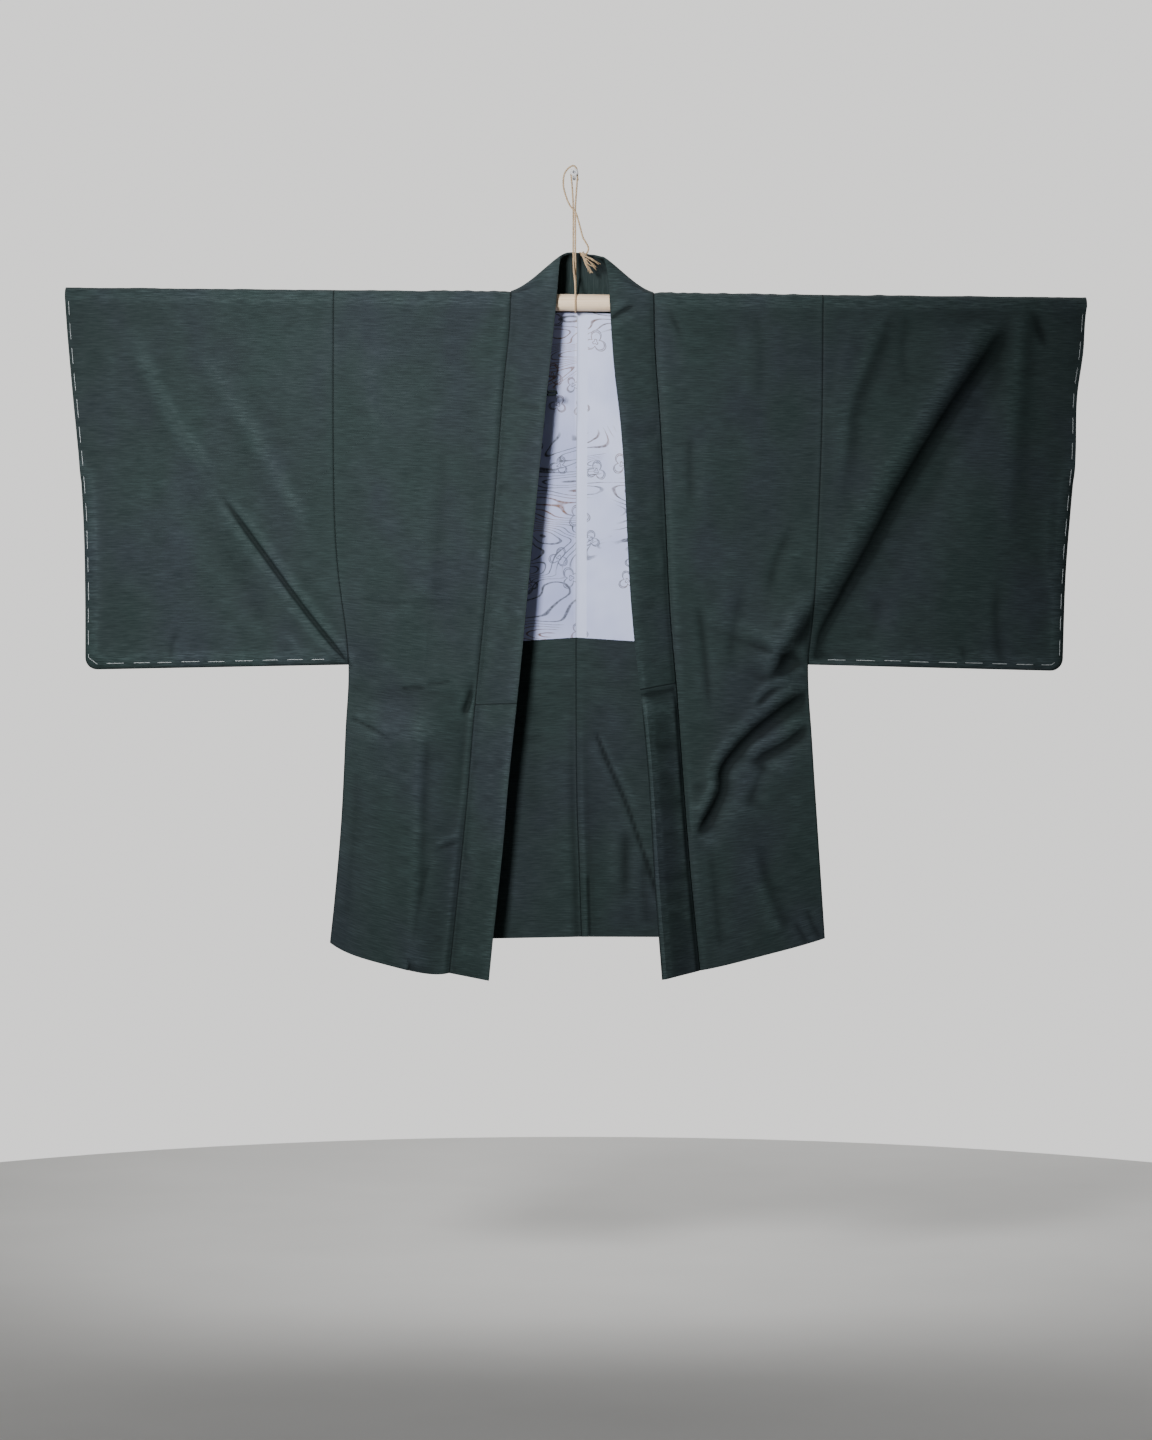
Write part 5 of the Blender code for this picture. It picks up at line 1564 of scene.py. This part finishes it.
@dataclass
class Rod:
    """A round pine rod, its ends sawn square and their edges eased."""

    left: float = -650.0
    right: float = 655.0
    eased: float = 0.8

    def build(self, finish: Material) -> Object:
        """Model the rod and put it in place of its solid.

        Args:
            finish: The wood.

        Returns:
            The rod.
        """
        length = (self.right - self.left) * math.hypot(1, ROD_SLOPE)
        middle = (self.left + self.right) / 2
        bpy.ops.object.select_all(action="DESELECT")
        bpy.ops.mesh.primitive_cylinder_add(
            vertices=64, radius=ROD_DIAMETER / 2 * MM, depth=length * MM, end_fill_type="NGON",
            location=(middle * MM, ROD_Y * MM, float(rod_z(middle)) * MM),
            rotation=(0, math.pi / 2 - math.atan(ROD_SLOPE), 0))
        made = bpy.context.object
        made.name = "pine_rod"
        bpy.ops.object.transform_apply(location=True, rotation=True, scale=True)
        bpy.ops.object.mode_set(mode="EDIT")
        bpy.ops.mesh.select_mode(type="EDGE")
        bpy.ops.mesh.select_all(action="DESELECT")
        bpy.ops.object.mode_set(mode="OBJECT")
        ends = {v for face in made.data.polygons if len(face.vertices) > 8 for v in face.vertices}
        for edge in made.data.edges:
            a, b = edge.vertices
            near = abs(made.data.vertices[a].co.x - made.data.vertices[b].co.x) < 0.1
            edge.select = a in ends and b in ends and near
        bpy.ops.object.mode_set(mode="EDIT")
        bpy.ops.mesh.bevel(offset=self.eased * MM, segments=3)
        bpy.ops.mesh.select_all(action="SELECT")
        bpy.ops.mesh.normals_make_consistent(inside=False)
        bpy.ops.object.mode_set(mode="OBJECT")
        bpy.ops.object.shade_smooth_by_angle(angle=math.radians(50))
        made.data.materials.append(finish)
        dress(made, "rod_wood", "rod")
        return made


@dataclass
class WallScrew:
    """A pan-head screw, painted over, with a cross recess that shows bare metal."""

    head: float = 10.4
    shank: float = 4.4
    out: float = 33.5
    head_depth: float = 4.0
    buried: float = 25.0
    recess: float = 3.9
    threads: int = 14               # crests and roots of the buried thread

    def ring(self, made: Object, y: float, radius: float) -> None:
        """Extrude the selected end face to a depth and a radius.

        Args:
            made: The screw, in edit mode with its end face selected.
            y: The new face's depth, in millimetres.
            radius: And its radius.
        """
        bpy.ops.mesh.extrude_region_move()
        bpy.ops.object.mode_set(mode="OBJECT")
        chosen = [v for v in made.data.vertices if v.select]
        for v in chosen:
            far = math.hypot(v.co.x, v.co.z) or 1.0
            v.co = Vector((v.co.x / far * radius * MM, y * MM, v.co.z / far * radius * MM))
        bpy.ops.object.mode_set(mode="EDIT")

    def build(self, paint: Material, metal: Material) -> Object:
        """Model the screw and put it in place of its solid.

        Args:
            paint: The head's finish.
            metal: The recess's and the shank's.

        Returns:
            The screw.
        """
        top, head, shank = -self.out, self.head / 2, self.shank / 2
        bpy.ops.object.select_all(action="DESELECT")
        bpy.ops.mesh.primitive_circle_add(
            vertices=32, radius=self.recess / 2 * 0.5 * MM, fill_type="NGON",
            location=(0, (top + 2.2) * MM, 0), rotation=(math.pi / 2, 0, 0))
        made = bpy.context.object
        made.name = "painted_screw"
        bpy.ops.object.transform_apply(location=True, rotation=True, scale=True)
        bpy.ops.object.mode_set(mode="EDIT")
        bpy.ops.mesh.select_mode(type="FACE")
        bpy.ops.mesh.select_all(action="SELECT")
        outline = (
            (top + 1.9, self.recess / 2 * 0.9), (top + 0.25, self.recess / 2),
            (top + 0.05, self.recess / 2 + 0.3), (top + 0.15, head * 0.62), (top + 0.7, head * 0.82),
            (top + 1.5, head * 0.95), (top + 2.4, head), (top + 3.2, head * 0.98),
            (top + self.head_depth - 0.3, head * 0.8), (top + self.head_depth, shank + 0.5),
            (top + self.head_depth + 0.8, shank), (-2.0, shank))
        for y, radius in outline:
            self.ring(made, y, radius)
        for k in range(self.threads):
            self.ring(made, k * (self.buried - 5) / self.threads, shank * (0.78 if k % 2 else 1.0))
        self.ring(made, self.buried - 5, shank * 0.7)
        self.ring(made, self.buried, 0.15)
        bpy.ops.mesh.select_all(action="SELECT")
        bpy.ops.mesh.remove_doubles(threshold=0.000001)
        bpy.ops.mesh.normals_make_consistent(inside=False)
        bpy.ops.object.mode_set(mode="OBJECT")
        bpy.ops.object.shade_smooth_by_angle(angle=math.radians(40))
        for finish in (paint, metal):
            made.data.materials.append(finish)
        for face in made.data.polygons:
            inside = math.hypot(face.center.x, face.center.z) < self.recess / 2 * MM
            far_in = face.center.y > (top + self.head_depth + 6) * MM
            face.material_index = 1 if (inside and face.center.y < (top + 3) * MM) or far_in else 0
        dress(made, "screw_paint", "wall_screw")
        return made


@dataclass
class Twine:
    """Two-strand jute twine: a doubled loop that holds the rod, and a tail with a half bow in it."""

    diameter: float = 2.4
    turn: float = ROD_DIAMETER / 2 + 2 * GAP + 1.0
    loop_route: tuple[Place, ...] = (
        (-1.35, -26, -46), (-2.3, -26.5, -24), (-3.8, -27, -7), (-4.1, -27, 0), (-2.9, -27, 3.1),
        (0, -27, 4.3), (2.9, -27, 3.1), (4.1, -27, 0), (3.9, -27, -7), (2.7, -26.5, -24),
        (1.35, -26, -46), (1.35, -26, -75), (1.35, -26, -105), (1.6, -23.5, -126), (1.7, -17.5, -148))
    loop_return: tuple[Place, ...] = (
        (1.2, -34.5, -148), (-0.6, -28.5, -126), (-1.35, -26, -105), (-1.35, -26, -75))
    tail_route: tuple[Place, ...] = (
        (4.6, -22, -9), (3.55, -22, 0), (2.9, -22, 6.5), (-1.5, -22, 10.2), (-8.5, -22, 6.0),
        (-13.3, -22.5, -2.5),
        (-14.0, -24, -17), (-9.5, -27, -34), (-4.0, -30, -45), (1.5, -31, -51), (6.0, -31, -65),
        (10.8, -30.5, -83), (14.0, -30, -89), (18.3, -29, -97.5), (15.5, -28.5, -105), (10.2, -31, -106),
        (12.5, -34, -112), (21.4, -34, -130))
    frays: tuple[tuple[Place, ...], ...] = (
        ((11.0, -32.5, -108), (14.5, -36, -114), (20.6, -37.5, -121), (26.8, -38, -124.5)),
        ((10.5, -32.8, -107), (16.0, -36.5, -110), (24.0, -38, -115), (31.0, -38, -119.5)),
        ((11.5, -33, -110), (14.0, -36.5, -118), (16.8, -37.5, -125), (19.0, -37.5, -129)),
        ((12.0, -33, -110), (18.0, -37, -115), (25.0, -38.5, -121), (28.4, -38.5, -126)),
        ((12.0, -33, -111), (16.0, -36.0, -120), (21.0, -37.0, -127), (23.6, -37, -131)))

    def build(self, finish: Material) -> list[Object]:
        """Make the loop, the tail, its knot and its frayed end.

        Args:
            finish: The jute.

        Returns:
            The four pieces.
        """
        radius = self.diameter / 2
        strands = {"sides": 14, "lobes": 2, "depth": 0.18, "pitch": 7.0}
        under = tuple(
            (1.4, ROD_Y - self.turn * math.cos(a), ROD_Z + self.turn * math.sin(a))
            for a in map(math.radians, (150, 180, 225, 270, 315, 360, 390)))
        route = curve_through(self.loop_route + under + self.loop_return, 330, closed=True)
        loop = mesh_object("hanging_twine", [tube_parts(route, radius, closed=True, **strands)], finish)
        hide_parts("twine_loop")
        tail_route = curve_through(self.tail_route, 220)
        tail = mesh_object("twine_tail_end", [tube_parts(tail_route, radius, **strands)], finish)
        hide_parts("twine_tail")
        knot = mesh_object("twine_knot", self.knot_parts(), finish)
        fray = mesh_object("frayed_end", self.fray_parts(), finish)
        for piece in (loop, tail, knot, fray):
            dress(piece, "twine")
        path = [tuple(point) for point in (curve_through(self.tail_route, 60) * MM).tolist()]
        return [loop, tail, knot, fray]

    def knot_parts(self) -> list[Shell]:
        """The half bow's knot: a short coil of twine round the tail with a strand over it."""
        middle = np.array([11.2, -31.0, -106.2])
        lean = unit(np.array([0.55, -0.1, -0.83]))
        side = unit(np.cross(lean, np.array([0.0, 1.0, 0.0])))
        deep = np.cross(lean, side)
        t = np.linspace(0, 2.2 * 2 * np.pi, 70)[:, None]
        coil = middle + side * np.cos(t) * 2.3 + deep * np.sin(t) * 2.0
        coil = coil + lean * (t / (2 * np.pi) - 1.1) * 2.0
        over = middle + np.array([
            (-4.4, 0.4, 2.6), (-2.6, -1.8, 1.6), (0.0, -3.2, 0.2), (2.8, -2.4, -1.0), (4.8, 0.2, -1.2)])
        return [tube_parts(points, radius, 10, lobes=2, depth=0.28, pitch=7.0)
                for points, radius in ((coil, 1.0), (curve_through(over, 30), 0.95))]

    def fray_parts(self) -> list[Shell]:
        """The cut end's strands, each a few fibres that part and taper."""
        parts = []
        rng = np.random.default_rng(8)
        parting, taper = np.array([[0.3], [0.8], [1.3], [2.2]]), np.linspace(0.62, 0.2, 18)
        for strand in self.frays:
            for _ in range(4):
                places = np.array(strand) + rng.normal(0, 0.55, (4, 3)) * parting
                parts.append(tube_parts(curve_through(places, 18), taper, 6))
        return parts


@dataclass
class Basting:
    """White cotton tacking stitches, left in along a sleeve's outer and lower edges."""

    side: Side
    hem: tuple[float, float]
    stitch: float = 25.0
    space: float = 8.0
    insets: tuple[float, float] = (4.4, 6.4)    # from the outer edge and from the lower one
    thread: float = 0.7
    first: float = 6.0                          # where the first stitch starts
    shortest: float = 8.0                       # way left over that takes no more stitches
    inner_end: float = 322.0                    # where the lower edge's stitches end
    armhole: float = 300.0                      # where the lower edge's given height is measured

    def line(self) -> np.ndarray:
        """The stitches' line: down the outer edge, across the corner, and in along the lower edge."""
        out = self.side.value
        cuff = CUFF[self.side]
        top = -160.0 if self.side is Side.LEFT else -176.0
        turn = self.hem[1] + CORNER
        down = np.linspace(top, turn, 60)
        outer = np.stack((cuff.at(down) - out * self.insets[0], down), axis=1)
        corner_x = float(cuff.at(turn))
        along = np.linspace(corner_x - out * CORNER, out * self.inner_end, 50)
        part = np.abs(along - corner_x) / abs(out * self.armhole - corner_x)
        lower = np.stack((along, mix(self.hem[1], self.hem[0], part) + self.insets[1]), axis=1)
        return np.concatenate((outer, lower))

    def build(self, sleeve: Object, finish: Material) -> Object:
        """Sew the stitches on a sleeve, long in front and short behind.

        Args:
            sleeve: The finished sleeve.
            finish: The thread.

        Returns:
            All the stitches as one object.
        """
        line = self.line()
        way = distance_along(line)
        rng = np.random.default_rng(3 + self.side.index)
        parts, at = [], self.first
        while at + self.shortest < way[-1]:
            long = self.stitch * rng.uniform(0.84, 1.14)
            space = self.space * rng.uniform(0.8, 1.25)
            end = min(at + long, way[-1])
            for layer, ends in ((Layer.FRONT, (at, end)), (Layer.BACK, (end + 1.0, end + space - 1.0))):
                parts.append(self.stitch_parts(sleeve, line, way, ends, layer, rng))
            at = end + space
        made = mesh_object(f"{self.side.word}_basting", parts, finish)
        dress(made, "silk")
        return made

    def stitch_parts(self, sleeve: Object, line: np.ndarray, way: np.ndarray,
                     ends: tuple[float, float], layer: Layer, rng: np.random.Generator) -> Shell:
        """One stitch that lies on the cloth and dips into it at both ends.

        Args:
            sleeve: The sleeve under it.
            line: The stitches' line.
            way: Distance along the line to each of its points.
            ends: Where the stitch starts and ends along the line.
            layer: Which face it lies on.
            rng: Source of its slight waver.

        Returns:
            The stitch's shell.
        """
        count = 9
        at = np.linspace(*ends, count)
        x, z = (np.interp(at, way, line[:, k]) + sway for k, sway in enumerate(rng.normal(0, 0.18, 2)))
        sign = layer.value
        y = np.empty(count)
        for k in range(count):
            start = Vector((x[k], sign * 90.0, z[k])) * MM
            hit, place, *_ = sleeve.ray_cast(start, Vector((0, -sign, 0)))
            y[k] = place.y / MM if hit else ROD_Y + sign * 8
        dip = 1.0 - np.sin(np.linspace(0, np.pi, count)) ** 0.4
        y = y + sign * (self.thread * 0.35 - dip * 0.9)
        points = np.stack((x, y, z), axis=1)
        return tube_parts(points, self.thread / 2, 8, lobes=2, depth=0.12, pitch=4.0)


# Studio


@dataclass
class Studio:
    """A pale floor, soft light from the left, and the camera straight in front."""

    distance: float = 4000.0
    lens: float = 77.5
    aim: tuple[float, float] = (2.2, -708.3)
    floor: float = -1480.0
    key_power: float = 172.0

    def camera(self) -> None:
        """Set up the camera."""
        data = bpy.data.cameras.new("front_camera")
        data.lens = self.lens
        data.sensor_fit = "VERTICAL"
        data.sensor_height = 36.0
        data.clip_end = 60.0
        made = bpy.data.objects.new("front_camera", data)
        made.location = (self.aim[0] * MM, (-self.distance - 40.0) * MM, self.aim[1] * MM)
        made.rotation_euler = (math.pi / 2, 0, 0)
        bpy.context.scene.collection.objects.link(made)
        bpy.context.scene.camera = made

    def light(self, name: str, kind: str, place: Place,
              target: Place, **settings: object) -> None:
        """Add a soft light.

        Args:
            name: The light's name.
            kind: Blender's name for its kind.
            place: Where it stands, in metres.
            target: What it faces, in metres.
            settings: Its energy in watts, and its size and colour.
        """
        data = bpy.data.lights.new(name, kind)
        for key, value in settings.items():
            setattr(data, key, value)
        made = bpy.data.objects.new(name, data)
        made.location = place
        made.rotation_euler = (Vector(target) - Vector(place)).to_track_quat("-Z", "Y").to_euler()
        bpy.context.scene.collection.objects.link(made)

    def build(self) -> None:
        """Set up floor, lights, world and camera."""
        bpy.ops.object.select_all(action="DESELECT")
        bpy.ops.mesh.primitive_circle_add(
            vertices=96, radius=1.7, fill_type="NGON", location=(0, 0.0, self.floor * MM))
        floor = bpy.context.object
        floor.name = "floor"
        bpy.ops.object.transform_apply(location=True, rotation=True, scale=True)
        floor.data.materials.append(MattFloor().make("painted_floor"))
        self.light("key_light", "SPOT", (-0.62, -1.55, 0.0), (-0.14, -0.04, -0.5), energy=self.key_power,
                   spot_size=math.radians(70), spot_blend=1.0, shadow_soft_size=0.19)
        for name, place, target, size, energy, colour in (
                ("fill_light", (1.5, -3.6, 0.4), (0.0, 0.0, -0.6), 2.0, 3.0, "#EAF1FF"),
                ("back_light", (0.7, 3.0, -0.3), (0.0, 0.0, -0.6), 2.2, 26.0, "#FFFFFF"),
                ("floor_light", (0.0, 0.9, 1.3), (0.0, 0.9, -1.4), 2.0, 30.0, "#FFFFFF")):
            self.light(name, "AREA", place, target, size=size, energy=energy, color=linear(colour)[:3])
        world = bpy.data.worlds.new("studio")
        world.use_nodes = True
        tree = world.node_tree
        sketch = Sketch(tree)
        split = add_node(tree, "SeparateXYZ", {0: add_node(tree, "TexCoord")[0]})
        behind = sketch.ranged(split[1], -0.05, 0.9, 0.10, 1.35, interpolation_type="SMOOTHSTEP")
        ceiling = sketch.ranged(split[2], 0.24, 0.42, 1.0, 0.12, interpolation_type="SMOOTHSTEP")
        feed(tree, tree.nodes["Background"], {
            "Color": linear("#F4F3F1"), "Strength": sketch.maths("MULTIPLY", behind, ceiling)})
        bpy.context.scene.world = world


def log_piece(piece: Object) -> None:
    """Log a finished piece."""
    LOG.info("%s: %d faces", piece.name, len(piece.data.polygons))


def main() -> None:
    """Build the haori piece by piece over its solids."""
    logging.basicConfig(level=logging.INFO, format="%(message)s")
    studio = Studio()
    studio.camera()
    jute = PlainThread("#D8BE9A", "#9C7C56").make("jute_twine")
    for piece in Twine().build(jute):
        log_piece(piece)
    silk = SlubSilk().make("silk")
    linings = {
        # Painted shade: the left lining gets a darker, greyer ground than the right one, for the shade on
        # that half.
        Side.LEFT: PrintedLining(ground="#B8C0EA", wash="#A8B1DE", bare_band=0.0).make("left_lining"),
        Side.RIGHT: PrintedLining().make("right_lining")}
    cotton = PlainThread("#D3D9DB", "#A8B0B4", roughness=0.75).make("white_cotton")
    hems = {Side.LEFT: (-635.7, -642.2), Side.RIGHT: (-635.7, -644.0)}
    for side in Side:
        sleeve = Sleeve(side, hems[side]).build(silk)
        log_piece(sleeve)
        log_piece(Basting(side, hems[side]).build(sleeve, cotton))
    panels = (
        BodyPanel(Side.LEFT, hem=-996.0, lapel_hem=-1035.0, join=-687.5, bow=9.5),
        BodyPanel(Side.RIGHT, hem=-990.5, lapel_hem=-1032.0, join=-665.0, bow=2.0))
    for panel in panels:
        for piece in (panel.build(silk), panel.build_lining(linings[panel.side]), panel.build_gore(silk)):
            log_piece(piece)
    for piece in Collar().build(silk):
        log_piece(piece)
    for side in Side:
        log_piece(CordLoop(side).build(silk))
    log_piece(Rod().build(PaleWood().make("pine")))
    paint = GlossPaint().make("gloss_paint")
    zinc = GlossPaint("#8E9196", "#6C6F74", roughness=0.42, metallic=0.6).make("zinc_plate")
    log_piece(WallScrew().build(paint, zinc))
    studio.build()


if __name__ == "__main__":
    main()
